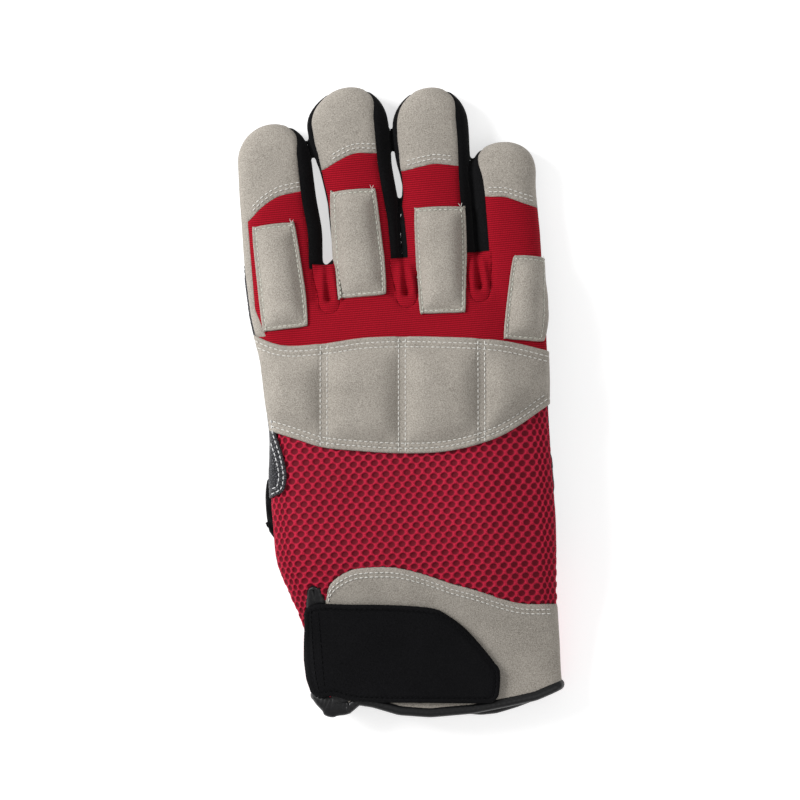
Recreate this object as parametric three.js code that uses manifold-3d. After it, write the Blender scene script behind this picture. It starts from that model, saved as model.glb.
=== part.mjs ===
// A right-hand gardening glove of cloth, air mesh and suede, lying with its back up
// and its thumb tucked under the palm. Millimetres, +Z up, fingers along +Y, thumb side at -X.

import * as THREE from "three";
import { mergeVertices } from "three/addons/utils/BufferGeometryUtils.js";
import Module from "manifold-3d";

const wasm = await Module();
wasm.setup();

// Lengths of the hand and the fingers
const PALM_LENGTH = 167; // hem line to the line of the finger crotches
const FINGER_LENGTH = 85.6; // crotch line to the middle fingertip
const FINGER_WIDTH = 28.8; // middle finger
const FINGER_THICKNESS = 16.5;
const FINGER_ROOT_DEPTH = 27; // how far a finger's tube starts inside the hand
const FINGER_GAP = 1.8;
const FINGERTIP_ROUND = 15;
const HAND_THICKNESS = 17;
const ARCH_HEIGHT = 18.5; // the palm's rise over the tucked thumb
const FLOOR_PRESS = 0.8; // how far the cloth is flattened where it rests

// Thumb
const THUMB_WIDTH = 37;
const THUMB_THICKNESS = 15.2;
const THUMB_TIP_ROUND = 18;
const THUMB_CAP_LENGTH = 32;

// Cloth and what is sewn on it
const WALL = 2;
const GAP = 0.3;
const BACK_CAP_LENGTH = 27.5; // middle finger, tip to seam
const PALM_CAP_LENGTH = 41;
const SIDE_DROP = 4; // how far the black side walls reach below the seam line
const GUSSET_WIDTH = 11;
const GUSSET_LENGTH = 20;
const GUSSET_HEAD = 0.78; // the share of a gusset past the crotch line
const PAD_LENGTH = 43;
const PAD_WIDTH = 18.5;
const PAD_BASE = 1.2;
const PAD_RISE = 1.8;
const PAD_BORDER = 2.4;
const BAND_BASE = 1.2;
const BAND_RISE = 2;
const BAND_BORDER = 4;
const CHANNEL_WIDTH = 3;
const PATCH_THICKNESS = 1.5;
const STRAP_LENGTH = 76;
const STRAP_WIDTH = 45;
const STRAP_THICKNESS = 1.8;
const BINDING_HEIGHT = 3.2;
const BINDING_PROUD = 0.8;
const SLIT_WIDTH = 1.2;
const SLIT_BINDING_WIDTH = 3;

// How finely the round sections are cut
const HAND_SIDES = 20;
const FINGER_SIDES = 10;
const ROUND_STEPS = 1.5; // points to a stretch of a rounded outline
const HAND_SQUARENESS = 3.5;
const FINGER_SQUARENESS = 2.4;
const TIP_ANGLES = [90, 62, 36, 13]; // degrees round a tip, from its start to its end
const FAR = 200; // past every face of the glove

// One row for each finger, from the thumb side across
const fingers = [
  { name: "index", width: 1.035, gapAfter: 1.17, reach: 0.856, lean: -1.5, backCap: 1.05, palmCap: 0.9 },
  { name: "middle", width: 1.0, gapAfter: 1.39, reach: 1.0, lean: -0.7, backCap: 1.0, palmCap: 1.0 },
  { name: "ring", width: 0.965, gapAfter: 0.44, reach: 0.97, lean: 0.4, backCap: 1.13, palmCap: 1.05 },
  { name: "little", width: 0.882, gapAfter: 0, reach: 0.688, lean: 0.1, backCap: 0.8, palmCap: 0.8 },
];

// Each seam's two sides on a finger's back: how far each lies past the cap's length
const capSeams = {
  index: { thumbSide: 0.32, middle: 0.02, farSide: -0.05 },
  middle: { thumbSide: 0.17, middle: -0.02, farSide: 0.02 },
  ring: { thumbSide: 0.06, middle: 0, farSide: 0.07 },
  little: { thumbSide: -0.04, middle: 0.02, farSide: 0.26 },
};

// The black side walls: how much of the finger's width each covers, seen from above
const sideWalls = [
  { name: "index_inner_side", finger: 0, side: 1, cover: 0.19 },
  { name: "middle_index_side", finger: 1, side: -1, cover: 0.09 },
  { name: "middle_ring_side", finger: 1, side: 1, cover: 0.19 },
  { name: "ring_middle_side", finger: 2, side: -1, cover: 0.09 },
  { name: "ring_little_side", finger: 2, side: 1, cover: 0.17 },
  { name: "little_ring_side", finger: 3, side: -1, cover: 0.17 },
];

// Sections of the hand from the hem to the crotch line: along is a share of the palm's
// length, the edges are shares of the knuckle width from its middle, thick is a share of
// the hand's thickness and lift a share of the arch's height.
const handSections = [
  { along: -0.04, thumbEdge: -0.403, farEdge: 0.456, thick: 0.84, lift: 0.06 },
  { along: 0.07, thumbEdge: -0.4, farEdge: 0.456, thick: 0.86, lift: 0.1 },
  { along: 0.16, thumbEdge: -0.402, farEdge: 0.459, thick: 0.9, lift: 0.26 },
  { along: 0.24, thumbEdge: -0.415, farEdge: 0.462, thick: 0.94, lift: 0.5 },
  { along: 0.31, thumbEdge: -0.452, farEdge: 0.466, thick: 0.97, lift: 0.76 },
  { along: 0.39, thumbEdge: -0.488, farEdge: 0.474, thick: 1, lift: 0.93 },
  { along: 0.54, thumbEdge: -0.49, farEdge: 0.479, thick: 1, lift: 1 },
  { along: 0.69, thumbEdge: -0.468, farEdge: 0.478, thick: 1, lift: 1 },
  { along: 0.82, thumbEdge: -0.478, farEdge: 0.491, thick: 1, lift: 0.95 },
  { along: 0.93, thumbEdge: -0.488, farEdge: 0.498, thick: 0.99, lift: 0.7 },
  { along: 1.0, thumbEdge: -0.484, farEdge: 0.494, thick: 0.96, lift: 0.45 },
];

// The lift goes on along the fingers, as shares of the finger length past the crotch line
const fingerLifts = [
  { along: 0, lift: 0.45 },
  { along: 0.12, lift: 0.2 },
  { along: 0.26, lift: 0.06 },
  { along: 0.42, lift: 0 },
  { along: 1.2, lift: 0 },
];

// The far side of the hand sinks towards what it lies on
const FAR_SIDE_DROP = 0.36;
const FAR_SIDE_START = 0.2;
const FAR_SIDE_END = 0.5;

// Sections of the thumb from inside the hand to the start of its round tip
const thumbSections = [
  { across: -0.475, along: 0.425, wide: 0.36, middle: 1.16, thick: 0.8 },
  { across: -0.44, along: 0.44, wide: 0.56, middle: 1.1, thick: 1.2 },
  { across: -0.385, along: 0.47, wide: 0.64, middle: 0.97, thick: 1.42 },
  { across: -0.3, along: 0.525, wide: 0.6, middle: 0.7, thick: 1.36 },
  { across: -0.19, along: 0.6, wide: 0.52, middle: 0.49, thick: 1.08 },
  { across: -0.07, along: 0.655, wide: 0.5, middle: 0.45, thick: 1 },
  { across: 0.035, along: 0.705, wide: 0.495, middle: 0.44, thick: 0.98 },
  { across: 0.145, along: 0.733, wide: 0.485, middle: 0.425, thick: 0.95 },
];

// Guards on the fingers: from is the foot's place past the crotch line as a share of the
// finger length, shift is a share of the finger width, turn is in degrees to the far side
const pads = [
  { finger: 0, from: -0.11, shift: -0.08, long: 0.98, foot: 0.97, head: 0.91, turn: -1 },
  { finger: 1, from: 0.012, shift: -0.08, long: 1.0, foot: 1.05, head: 0.96, turn: 0.5 },
  { finger: 2, from: -0.095, shift: -0.05, long: 0.99, foot: 0.99, head: 1.07, turn: 2.5 },
  { finger: 3, from: -0.25, shift: 0.1, long: 0.78, foot: 0.88, head: 0.74, turn: 9 },
];

// The knuckle band from the thumb side: its top edge and its foot, with the rows that
// carry a quilting channel
const bandStations = [
  { topAcross: -0.468, top: 0.925, footAcross: -0.455, foot: 0.7, channel: false },
  { topAcross: -0.411, top: 0.905, footAcross: -0.377, foot: 0.677, channel: false },
  { topAcross: -0.266, top: 0.901, footAcross: -0.294, foot: 0.654, channel: true },
  { topAcross: -0.132, top: 0.907, footAcross: -0.162, foot: 0.638, channel: false },
  { topAcross: 0.001, top: 0.903, footAcross: -0.03, foot: 0.626, channel: true },
  { topAcross: 0.141, top: 0.894, footAcross: 0.11, foot: 0.622, channel: false },
  { topAcross: 0.269, top: 0.883, footAcross: 0.242, foot: 0.635, channel: true },
  { topAcross: 0.377, top: 0.868, footAcross: 0.354, foot: 0.663, channel: false },
  { topAcross: 0.478, top: 0.845, footAcross: 0.47, foot: 0.71, channel: false },
];

// Seams and outlines in plan: across is a share of the knuckle width from its middle and
// along a share of the palm's length from the hem line
const wristSeam = [
  [-0.327, 0.29], [-0.31, 0.325], [-0.27, 0.346], [-0.223, 0.358], [-0.156, 0.359], [-0.078, 0.353],
  [0.009, 0.333], [0.098, 0.306], [0.188, 0.283], [0.291, 0.253], [0.385, 0.239], [0.6, 0.234],
];
const backHem = [
  [-0.6, 0.12], [-0.43, 0.07], [-0.389, 0.046], [-0.339, 0.008], [-0.29, 0.012], [-0.247, 0.034],
  [-0.193, 0.025], [-0.107, 0.002], [-0.002, -0.009], [0.142, -0.008], [0.263, 0.002], [0.36, 0.011],
  [0.46, 0.034], [0.6, 0.07],
];
const palmHem = [
  [-0.6, 0.12], [-0.43, 0.07], [-0.389, 0.046], [-0.321, 0.039], [-0.188, 0.053], [-0.113, 0.054],
  [-0.032, 0.038], [0.052, 0.008], [0.114, -0.008], [0.17, -0.015], [0.222, -0.014], [0.288, -0.004],
  [0.357, 0.01], [0.46, 0.034], [0.6, 0.07],
];
const palmCuffSeam = [
  [-0.7, 0.318], [-0.47, 0.325], [-0.193, 0.337], [-0.08, 0.34], [0.071, 0.348], [0.26, 0.353], [0.7, 0.346],
];
const cuffMiddleSeam = [
  [-0.178, 0.4], [-0.178, 0.306], [-0.174, 0.26], [-0.141, 0.198], [-0.117, 0.144], [-0.106, 0.095],
  [-0.1, -0.1],
];
const slitLine = [[-0.366, 0.322], [-0.36, 0.26], [-0.32, 0.14], [-0.268, -0.1]];

const scallopedPatch = [
  [0.465, 0.8], [0.455, 0.879], [0.409, 0.937], [0.357, 0.951], [0.304, 0.945], [0.252, 0.915],
  [0.209, 0.904], [0.179, 0.94], [0.144, 0.965], [0.104, 0.979], [0.03, 0.955], [-0.008, 0.946],
  [-0.051, 0.969], [-0.12, 0.994], [-0.17, 0.982], [-0.208, 0.948], [-0.262, 0.9], [-0.324, 0.855],
  [-0.354, 0.8], [-0.331, 0.756], [-0.291, 0.747], [-0.205, 0.77], [-0.124, 0.79], [-0.028, 0.804],
  [0.121, 0.787], [0.303, 0.766], [0.404, 0.764], [0.447, 0.776],
];
const heelPatch = [
  [0.325, 0.729], [0.379, 0.71], [0.432, 0.673], [0.468, 0.61], [0.48, 0.532], [0.442, 0.461],
  [0.36, 0.43], [0.284, 0.428], [0.198, 0.472], [0.143, 0.519], [0.055, 0.59], [0.09, 0.64], [0.2, 0.7],
];
const thumbBasePatch = [
  [-0.011, 0.555], [0.055, 0.54], [0.12, 0.51], [0.174, 0.455], [0.174, 0.422], [0.148, 0.392],
  [0.108, 0.375], [0.055, 0.369], [-0.008, 0.378], [-0.088, 0.405], [-0.165, 0.44], [-0.15, 0.5], [-0.09, 0.545],
];
const indexSidePatch = [
  [-0.375, 1.1], [-0.43, 1.113], [-0.514, 1.105], [-0.56, 1.08], [-0.56, 0.96], [-0.55, 0.84],
  [-0.54, 0.81], [-0.434, 0.81], [-0.375, 0.82], [-0.357, 0.896], [-0.352, 0.939], [-0.374, 0.978],
  [-0.396, 1.016], [-0.377, 1.049],
];
const thumbCrotchPatch = [
  [-0.113, 0.73], [-0.08, 0.69], [-0.076, 0.66], [-0.1, 0.633], [-0.146, 0.624], [-0.22, 0.639],
  [-0.283, 0.646], [-0.337, 0.635], [-0.419, 0.612], [-0.6, 0.575], [-0.6, 0.76], [-0.48, 0.785],
  [-0.42, 0.76], [-0.37, 0.725], [-0.29, 0.715], [-0.2, 0.74],
];
// The part of the thumb crotch patch that shows past the edge of the hand's back
const thumbCrotchEdge = [
  [-0.6, 0.76], [-0.468, 0.749], [-0.45, 0.695], [-0.43, 0.632], [-0.428, 0.583], [-0.46, 0.55], [-0.6, 0.546],
];

// The strap's outline as shares of its length and width, from its sewn end's lower corner
const strapOutline = [
  [0, 0.82], [0.03, 1], [0.25, 0.98], [0.5, 0.94], [0.67, 0.89], [0.735, 0.83], [0.83, 0.69],
  [0.92, 0.49], [0.97, 0.36], [0.995, 0.28], [0.985, 0.1], [0.965, 0.03], [0.91, 0], [0.62, 0.04],
  [0.25, 0.1], [0.12, 0.17], [0.01, 0.22],
];
const STRAP_START = [-0.401, 0.013];

const knuckleWidth =
  fingers.reduce((sum, finger) => sum + finger.width * FINGER_WIDTH + finger.gapAfter * FINGER_GAP, 0);

let cursor = -knuckleWidth / 2;
for (const finger of fingers) {
  finger.half = (finger.width * FINGER_WIDTH) / 2;
  finger.x = cursor + finger.half;
  finger.halfGap = (finger.gapAfter * FINGER_GAP) / 2;
  finger.tip = finger.reach * FINGER_LENGTH;
  cursor += 2 * finger.half + 2 * finger.halfGap;
}

/** A point in plan from shares of the knuckle width and the palm's length. */
function plan([across, along]) {
  return [across * knuckleWidth, along * PALM_LENGTH];
}

/** The value of a column at a place along a table, on straight lines between its rows. */
function between(rows, column, along) {
  const next = Math.max(1, rows.findIndex((row) => row.along >= along));
  const after = along > rows.at(-1).along ? rows.at(-1) : rows[next];
  const before = along > rows.at(-1).along ? rows.at(-1) : rows[next - 1];
  const span = after.along - before.along || 1;
  const share = Math.min(1, Math.max(0, (along - before.along) / span));
  return before[column] + (after[column] - before[column]) * share;
}

/** The height of the seam line between the glove's back and its palm. */
function middleHeight(x, y) {
  const past = y - PALM_LENGTH;
  const lift = past > 0
    ? between(fingerLifts, "lift", past / FINGER_LENGTH)
    : between(handSections, "lift", y / PALM_LENGTH);
  const drop = THREE.MathUtils.smoothstep(x / knuckleWidth, FAR_SIDE_START, FAR_SIDE_END);
  return FINGER_THICKNESS / 2 - FLOOR_PRESS + lift * ARCH_HEIGHT * (1 - FAR_SIDE_DROP * drop);
}

/** Points round a flattened oval section, as shares of its half width and half height. */
function ovalShares(sides, squareness) {
  return Array.from({ length: sides }, (_, index) => {
    const angle = (2 * Math.PI * index) / sides;
    const wide = Math.cos(angle);
    const high = Math.sign(Math.sin(angle)) * (1 - Math.abs(wide) ** squareness) ** (1 / squareness);
    return [wide, Math.abs(Math.sin(angle)) < 1e-9 ? 0 : high];
  });
}

/** A closed solid through rings of points, with a fan over each end. */
function loft(rings) {
  const sides = rings[0].length;
  const centre = (ring) => ring.reduce((sum, p) => sum.clone().add(p), new THREE.Vector3()).divideScalar(sides);
  const points = [...rings.flat(), centre(rings[0]), centre(rings.at(-1))];
  const faces = [];
  for (let ring = 0; ring < rings.length - 1; ring++) {
    for (let side = 0; side < sides; side++) {
      const a = ring * sides + side;
      const b = ring * sides + ((side + 1) % sides);
      faces.push(a, b, b + sides, a, b + sides, a + sides);
    }
  }
  const last = (rings.length - 1) * sides;
  for (let side = 0; side < sides; side++) {
    const next = (side + 1) % sides;
    faces.push(points.length - 2, next, side, points.length - 1, last + side, last + next);
  }
  let volume = 0;
  for (let face = 0; face < faces.length; face += 3) {
    const [a, b, c] = [points[faces[face]], points[faces[face + 1]], points[faces[face + 2]]];
    volume += a.dot(new THREE.Vector3().crossVectors(b, c));
  }
  if (volume < 0) faces.reverse();
  const geometry = new THREE.BufferGeometry().setFromPoints(points);
  geometry.setIndex(faces);
  return solid(geometry);
}

/** A solid for cutting and joining, from a closed geometry. */
function solid(geometry) {
  const bare = new THREE.BufferGeometry();
  bare.setAttribute("position", geometry.getAttribute("position"));
  bare.setIndex(geometry.getIndex());
  const merged = mergeVertices(bare, 1e-5);
  return new wasm.Manifold(new wasm.Mesh({
    numProp: 3,
    vertProperties: new Float32Array(merged.getAttribute("position").array),
    triVerts: new Uint32Array(merged.getIndex().array),
  }));
}

/** An upright prism over a plan outline, from far below to far above. */
function prism(outline) {
  const shape = new THREE.Shape(outline.map(([x, y]) => new THREE.Vector2(x, y)));
  const geometry = new THREE.ExtrudeGeometry(shape, { depth: 2 * FAR, bevelEnabled: false });
  geometry.translate(0, 0, -FAR);
  return solid(geometry);
}

/** A closed outline rounded through its points. */
function rounded(outline, steps = ROUND_STEPS) {
  const points = outline.map(([x, y]) => new THREE.Vector3(x, y, 0));
  const curve = new THREE.CatmullRomCurve3(points, true, "centripetal");
  return curve.getPoints(Math.round(outline.length * steps)).slice(0, -1).map((p) => [p.x, p.y]);
}

/** An outline moved outwards by a distance, or inwards by a negative one. */
function grown(outline, distance) {
  const turning = Math.sign(THREE.ShapeUtils.area(outline.map(([x, y]) => new THREE.Vector2(x, y))));
  return outline.map((point, index) => {
    const before = new THREE.Vector2(...outline.at(index - 1));
    const here = new THREE.Vector2(...point);
    const after = new THREE.Vector2(...outline[(index + 1) % outline.length]);
    const normals = [here.clone().sub(before), after.clone().sub(here)].map(
      (edge) => new THREE.Vector2(edge.y, -edge.x).normalize().multiplyScalar(turning));
    const miter = normals[0].add(normals[1]);
    miter.divideScalar(Math.max(0.5, miter.lengthSq() / 2));
    return here.addScaledVector(miter, distance).toArray();
  });
}

/** The outline of a strip of one width along a line. */
function strip(line, halfWidth) {
  const sides = [1, -1].map((side) => line.map((point, index) => {
    const before = new THREE.Vector2(...line[Math.max(0, index - 1)]);
    const after = new THREE.Vector2(...line[Math.min(line.length - 1, index + 1)]);
    const way = after.sub(before).normalize();
    return [point[0] + side * way.y * halfWidth, point[1] - side * way.x * halfWidth];
  }));
  return [...sides[0], ...sides[1].reverse()];
}

/** Everything in plan above a seam line that runs across the glove, moved by a distance. */
function above(line, shift = 0) {
  const moved = line.map(([x, y]) => [x, y + shift]);
  return prism([...moved, [FAR, moved.at(-1)[1]], [FAR, 2 * FAR], [-FAR, 2 * FAR], [-FAR, moved[0][1]]]);
}

/** A point on a finger from its place across and along its own axis, past the crotch line. */
function fingerPoint(finger, u, v) {
  const lean = THREE.MathUtils.degToRad(finger.lean);
  const x = finger.x + u * Math.cos(lean) + v * Math.sin(lean);
  return [x, PALM_LENGTH - u * Math.sin(lean) + v * Math.cos(lean)];
}

/** A finger's tube with a round tip, thicker all round by a distance. */
function fingerTube(finger, grow) {
  const shares = ovalShares(FINGER_SIDES, FINGER_SQUARENESS);
  const straight = finger.tip - FINGERTIP_ROUND;
  const stations = [
    { v: -FINGER_ROOT_DEPTH, wide: 0.9, thick: 0.76 },
    { v: -0.4 * FINGER_ROOT_DEPTH, wide: 1, thick: 0.95 },
    ...[0, 0.25, 0.55].map((share) => ({ v: share * straight, wide: 1, thick: 1 })),
  ];
  for (const angle of TIP_ANGLES) {
    const turn = THREE.MathUtils.degToRad(angle);
    stations.push({ round: turn, v: straight + (FINGERTIP_ROUND + grow) * Math.cos(turn) });
  }
  return loft(stations.map((station) => {
    const taper = station.round === undefined ? 1 : Math.sin(station.round);
    const halfWidth = station.round === undefined
      ? finger.half * station.wide + grow
      : (finger.half + grow) * taper;
    const halfHeight = station.round === undefined
      ? (FINGER_THICKNESS / 2) * station.thick + grow
      : (FINGER_THICKNESS / 2 + grow) * Math.sqrt(taper);
    return shares.map(([wide, high]) => {
      const [x, y] = fingerPoint(finger, wide * halfWidth, station.v);
      return new THREE.Vector3(x, y, middleHeight(x, y) + high * halfHeight);
    });
  }));
}

/** The hand and cuff as one closed oval tube, thicker all round by a distance. */
function handTube(grow) {
  const shares = ovalShares(HAND_SIDES, HAND_SQUARENESS);
  return loft(handSections.map((section, index) => {
    const [left] = plan([section.thumbEdge, 0]);
    const [right] = plan([section.farEdge, 0]);
    const end = index === handSections.length - 1 ? grow : 0;
    const y = section.along * PALM_LENGTH + end;
    const halfWidth = (right - left) / 2 + grow;
    const halfHeight = (HAND_THICKNESS * section.thick) / 2 + grow;
    return shares.map(([wide, high]) => {
      const x = (left + right) / 2 + wide * halfWidth;
      return new THREE.Vector3(x, y, middleHeight(x, y) + high * halfHeight);
    });
  }));
}

const forms = new Map();

/** The glove's whole outer form without its thumb, thicker all round by a distance. */
function form(grow) {
  if (!forms.has(grow)) {
    forms.set(grow, fingers.reduce((sum, finger) => sum.add(fingerTube(finger, grow)), handTube(grow)));
  }
  return forms.get(grow);
}

/** The layer between two distances from the glove's surface. */
function layer(inner, outer) {
  return form(outer).subtract(form(inner));
}

/** Everything above the seam line between back and palm, moved up by a distance. */
function upperSide(shift) {
  const across = [-0.8, FAR_SIDE_START, 0.28, 0.35, 0.42, FAR_SIDE_END, 0.8];
  const alongs = [
    -0.4 * PALM_LENGTH,
    ...handSections.map((row) => row.along * PALM_LENGTH),
    ...fingerLifts.slice(1).map((row) => PALM_LENGTH + row.along * FINGER_LENGTH),
    PALM_LENGTH + 2 * FINGER_LENGTH,
  ];
  return loft(alongs.map((y) => {
    const xs = across.map((share) => share * knuckleWidth);
    const low = xs.map((x) => new THREE.Vector3(x, y, middleHeight(x, y) + shift));
    return [...low, new THREE.Vector3(xs.at(-1), y, FAR), new THREE.Vector3(xs[0], y, FAR)];
  }));
}

const upper = upperSide(GAP / 2);
const notLower = upperSide(-GAP / 2);
const upperWithSides = upperSide(-SIDE_DROP);
const upperWithSidesAndGap = upperSide(-SIDE_DROP - GAP);
const shell = layer(-WALL, 0);
const floor = prism([[-FAR, -FAR], [FAR, -FAR], [FAR, 2 * FAR], [-FAR, 2 * FAR]]).translate([0, 0, FAR]);

/** The plan strip that a black side wall covers, wider by a distance. */
function sideWallOutline(wall, extra) {
  const finger = fingers[wall.finger];
  const gap = wall.side > 0 ? finger.halfGap : fingers[wall.finger - 1].halfGap;
  const cover = wall.cover * 2 * finger.half;
  const outer = finger.half + gap;
  const foot = GUSSET_HEAD * GUSSET_LENGTH + GAP - (extra > 0 ? WALL : 0);
  const point = (u, v) => fingerPoint(finger, wall.side * u, v);
  return [
    point(finger.half - cover - extra, foot),
    point(finger.half - cover - extra, finger.tip - 0.9 * FINGERTIP_ROUND),
    point(0.8 * finger.half - 0.6 * cover - extra, finger.tip - 0.42 * FINGERTIP_ROUND + extra),
    point(outer, finger.tip - 0.3 * FINGERTIP_ROUND + extra),
    point(outer, foot),
  ];
}

/** The plan outline of the gusset between a finger and the next, wider by a distance. */
function gussetOutline(index, extra) {
  const finger = fingers[index];
  const middle = finger.x + finger.half + finger.halfGap;
  const half = GUSSET_WIDTH / 2 + extra;
  const foot = PALM_LENGTH - (1 - GUSSET_HEAD) * GUSSET_LENGTH - extra;
  const head = PALM_LENGTH + GUSSET_HEAD * GUSSET_LENGTH + extra;
  return [
    [middle - half, head], [middle - half, foot + 0.5 * half], [middle - 0.6 * half, foot + 0.12 * half],
    [middle, foot], [middle + 0.6 * half, foot + 0.12 * half], [middle + half, foot + 0.5 * half],
    [middle + half, head],
  ];
}

/** Everything in plan beyond a fingertip cap's seam on the glove's back. */
function backCapZone(index, shift) {
  const finger = fingers[index];
  const seam = capSeams[finger.name];
  const length = BACK_CAP_LENGTH * finger.backCap;
  const point = (u, share) => fingerPoint(finger, u * finger.half, finger.tip - length * (1 + share) + shift);
  const outer = 1 + finger.halfGap / finger.half;
  const zone = prism([
    point(-1.3, seam.thumbSide), point(-0.9, seam.thumbSide), point(-0.45, 0.4 * (seam.thumbSide + seam.middle)),
    point(0, seam.middle), point(0.5, 0.5 * (seam.middle + seam.farSide)), point(outer, seam.farSide),
    fingerPoint(finger, outer * finger.half, finger.tip + FAR / 4),
    fingerPoint(finger, -1.3 * finger.half, finger.tip + FAR / 4),
  ]);
  if (finger.name !== "index") return zone;
  const edge = prism([
    fingerPoint(finger, -1.3 * finger.half, finger.tip - length),
    fingerPoint(finger, -0.82 * finger.half - shift, finger.tip - length),
    fingerPoint(finger, -0.85 * finger.half - shift, 0),
    plan([-0.455, 0.935]).map((value, axis) => value - (axis === 0 ? shift : 0)),
    plan([-0.56, 0.935]),
  ]);
  return zone.add(edge);
}

/** A box in plan round one finger from a distance before its tip. */
function fingerEnd(finger, length) {
  const thumbSide = finger.half + 0.8;
  return prism([
    fingerPoint(finger, -thumbSide, finger.tip - length), fingerPoint(finger, finger.half + 0.3, finger.tip - length),
    fingerPoint(finger, finger.half + 0.3, finger.tip + FAR / 4), fingerPoint(finger, -thumbSide, finger.tip + FAR / 4),
  ]);
}

const materials = {
  greySuede: { color: 0xb0a89e, roughness: 0.95 },
  redKnit: { color: 0xb81830, roughness: 0.9 },
  redMesh: { color: 0xc82040, roughness: 0.85 },
  blackCloth: { color: 0x141416, roughness: 0.95 },
  blackSuede: { color: 0x1e1d1d, roughness: 0.95 },
  grainedLeather: { color: 0x3c3c44, roughness: 0.55 },
  strapCloth: { color: 0x0f0f10, roughness: 0.9 },
  glossyBinding: { color: 0x1c1c1d, roughness: 0.4 },
};

const glove = new THREE.Group();

/** Adds one piece of the glove, flattened where it meets what it lies on. */
function piece(name, body, material) {
  const mesh = body.intersect(floor).getMesh();
  const geometry = new THREE.BufferGeometry();
  geometry.setAttribute("position", new THREE.BufferAttribute(new Float32Array(mesh.vertProperties), 3));
  geometry.setIndex(new THREE.BufferAttribute(new Uint32Array(mesh.triVerts), 1));
  geometry.computeVertexNormals();
  const look = new THREE.MeshStandardMaterial({ ...materials[material], metalness: 0 });
  const part = new THREE.Mesh(geometry, look);
  part.name = name;
  glove.add(part);
}

const gussetGaps = [0, 1, 2].map((index) => prism(gussetOutline(index, GAP)))
  .reduce((sum, one) => sum.add(one));
const sideGaps = sideWalls.map((wall) => prism(sideWallOutline(wall, GAP)))
  .reduce((sum, one) => sum.add(one));

/** The black walls between the fingers and the red gussets at their feet. */
function buildSidesAndGussets() {
  for (const wall of sideWalls) {
    const zone = prism(sideWallOutline(wall, 0)).intersect(upperWithSides);
    piece(wall.name, shell.intersect(zone).subtract(gussetGaps), "blackCloth");
  }
  for (const index of [0, 1, 2]) {
    const name = `${fingers[index].name}_${fingers[index + 1].name}_gusset`;
    piece(name, shell.intersect(prism(gussetOutline(index, 0))), "redKnit");
  }
}

/** The knit on the finger backs, the mesh under the band and the caps at the fingertips. */
function buildBack(slitGap) {
  const back = shell.intersect(upper).subtract(gussetGaps).subtract(sideGaps);
  let knit = back;
  for (const [index, finger] of fingers.entries()) {
    piece(`${finger.name}_back_cap`, back.intersect(backCapZone(index, 0)), "greySuede");
    knit = knit.subtract(backCapZone(index, -GAP));
  }
  const seam = bandStations.map((row) => plan([
    (row.topAcross + row.footAcross) / 2, (row.top + row.foot) / 2]));
  const kneeless = [[-FAR, seam[0][1]], ...seam];
  const hemLine = backHem.map(plan);
  const cuffTop = wristSeam.map(plan);
  const panelOutline = [...cuffTop, plan([0.6, -0.2]), ...slitLine.map(plan).reverse().slice(0, 3)];
  const aboveHem = above(hemLine, BINDING_HEIGHT + GAP);
  const panelZone = prism(panelOutline);
  const panelGap = prism(grown(panelOutline, GAP));
  piece("back_knit", knit.intersect(above(kneeless, GAP)), "redKnit");
  const edgePatch = crotchPatchSolid(GAP);
  const below = back.subtract(above(kneeless)).intersect(aboveHem).subtract(slitGap).subtract(edgePatch);
  piece("back_mesh", below.subtract(panelGap), "redMesh");
  piece("wrist_panel", below.intersect(panelZone), "greySuede");
}

/** The suede palm, its leather fingertips and the two mesh panels of the cuff. */
function buildPalm(thumbHole) {
  const sides = sideGaps.intersect(upperWithSidesAndGap);
  const lower = shell.subtract(notLower).subtract(gussetGaps).subtract(sides).subtract(thumbHole);
  let palm = lower;
  for (const finger of fingers) {
    const length = PALM_CAP_LENGTH * finger.palmCap;
    piece(`${finger.name}_palm_cap`, lower.intersect(fingerEnd(finger, length)), "grainedLeather");
    palm = palm.subtract(fingerEnd(finger, length + GAP));
  }
  const cuffSeam = palmCuffSeam.map(plan);
  piece("palm", palm.intersect(above(cuffSeam, GAP)), "blackSuede");
  const cuff = lower.subtract(above(cuffSeam)).intersect(above(palmHem.map(plan), BINDING_HEIGHT + GAP));
  const middle = cuffMiddleSeam.map(plan);
  const thumbSide = [...middle, plan([-0.8, -0.1]), plan([-0.8, 0.4])];
  piece("thumb_side_cuff", cuff.intersect(prism(thumbSide)), "redMesh");
  piece("little_side_cuff", cuff.subtract(prism(grown(thumbSide, GAP))), "redMesh");
}

/** The puffed guards on the finger backs. */
function buildPads() {
  for (const row of pads) {
    const finger = fingers[row.finger];
    const turn = THREE.MathUtils.degToRad(row.turn);
    const long = row.long * PAD_LENGTH;
    const foot = (row.foot * PAD_WIDTH) / 2;
    const head = (row.head * PAD_WIDTH) / 2;
    const place = (u, v) => fingerPoint(
      finger, row.shift * 2 * finger.half + u * Math.cos(turn) + v * Math.sin(turn),
      row.from * FINGER_LENGTH - u * Math.sin(turn) + v * Math.cos(turn));
    const outline = [place(-foot, 0), place(foot, 0), place(head, long), place(-head, long)];
    const base = layer(GAP, GAP + PAD_BASE).intersect(prism(outline));
    const middle = layer(GAP, GAP + PAD_BASE + PAD_RISE).intersect(prism(grown(outline, -PAD_BORDER)));
    piece(`${finger.name}_pad`, base.add(middle).intersect(upper).subtract(bandClear), "greySuede");
  }
}

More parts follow.
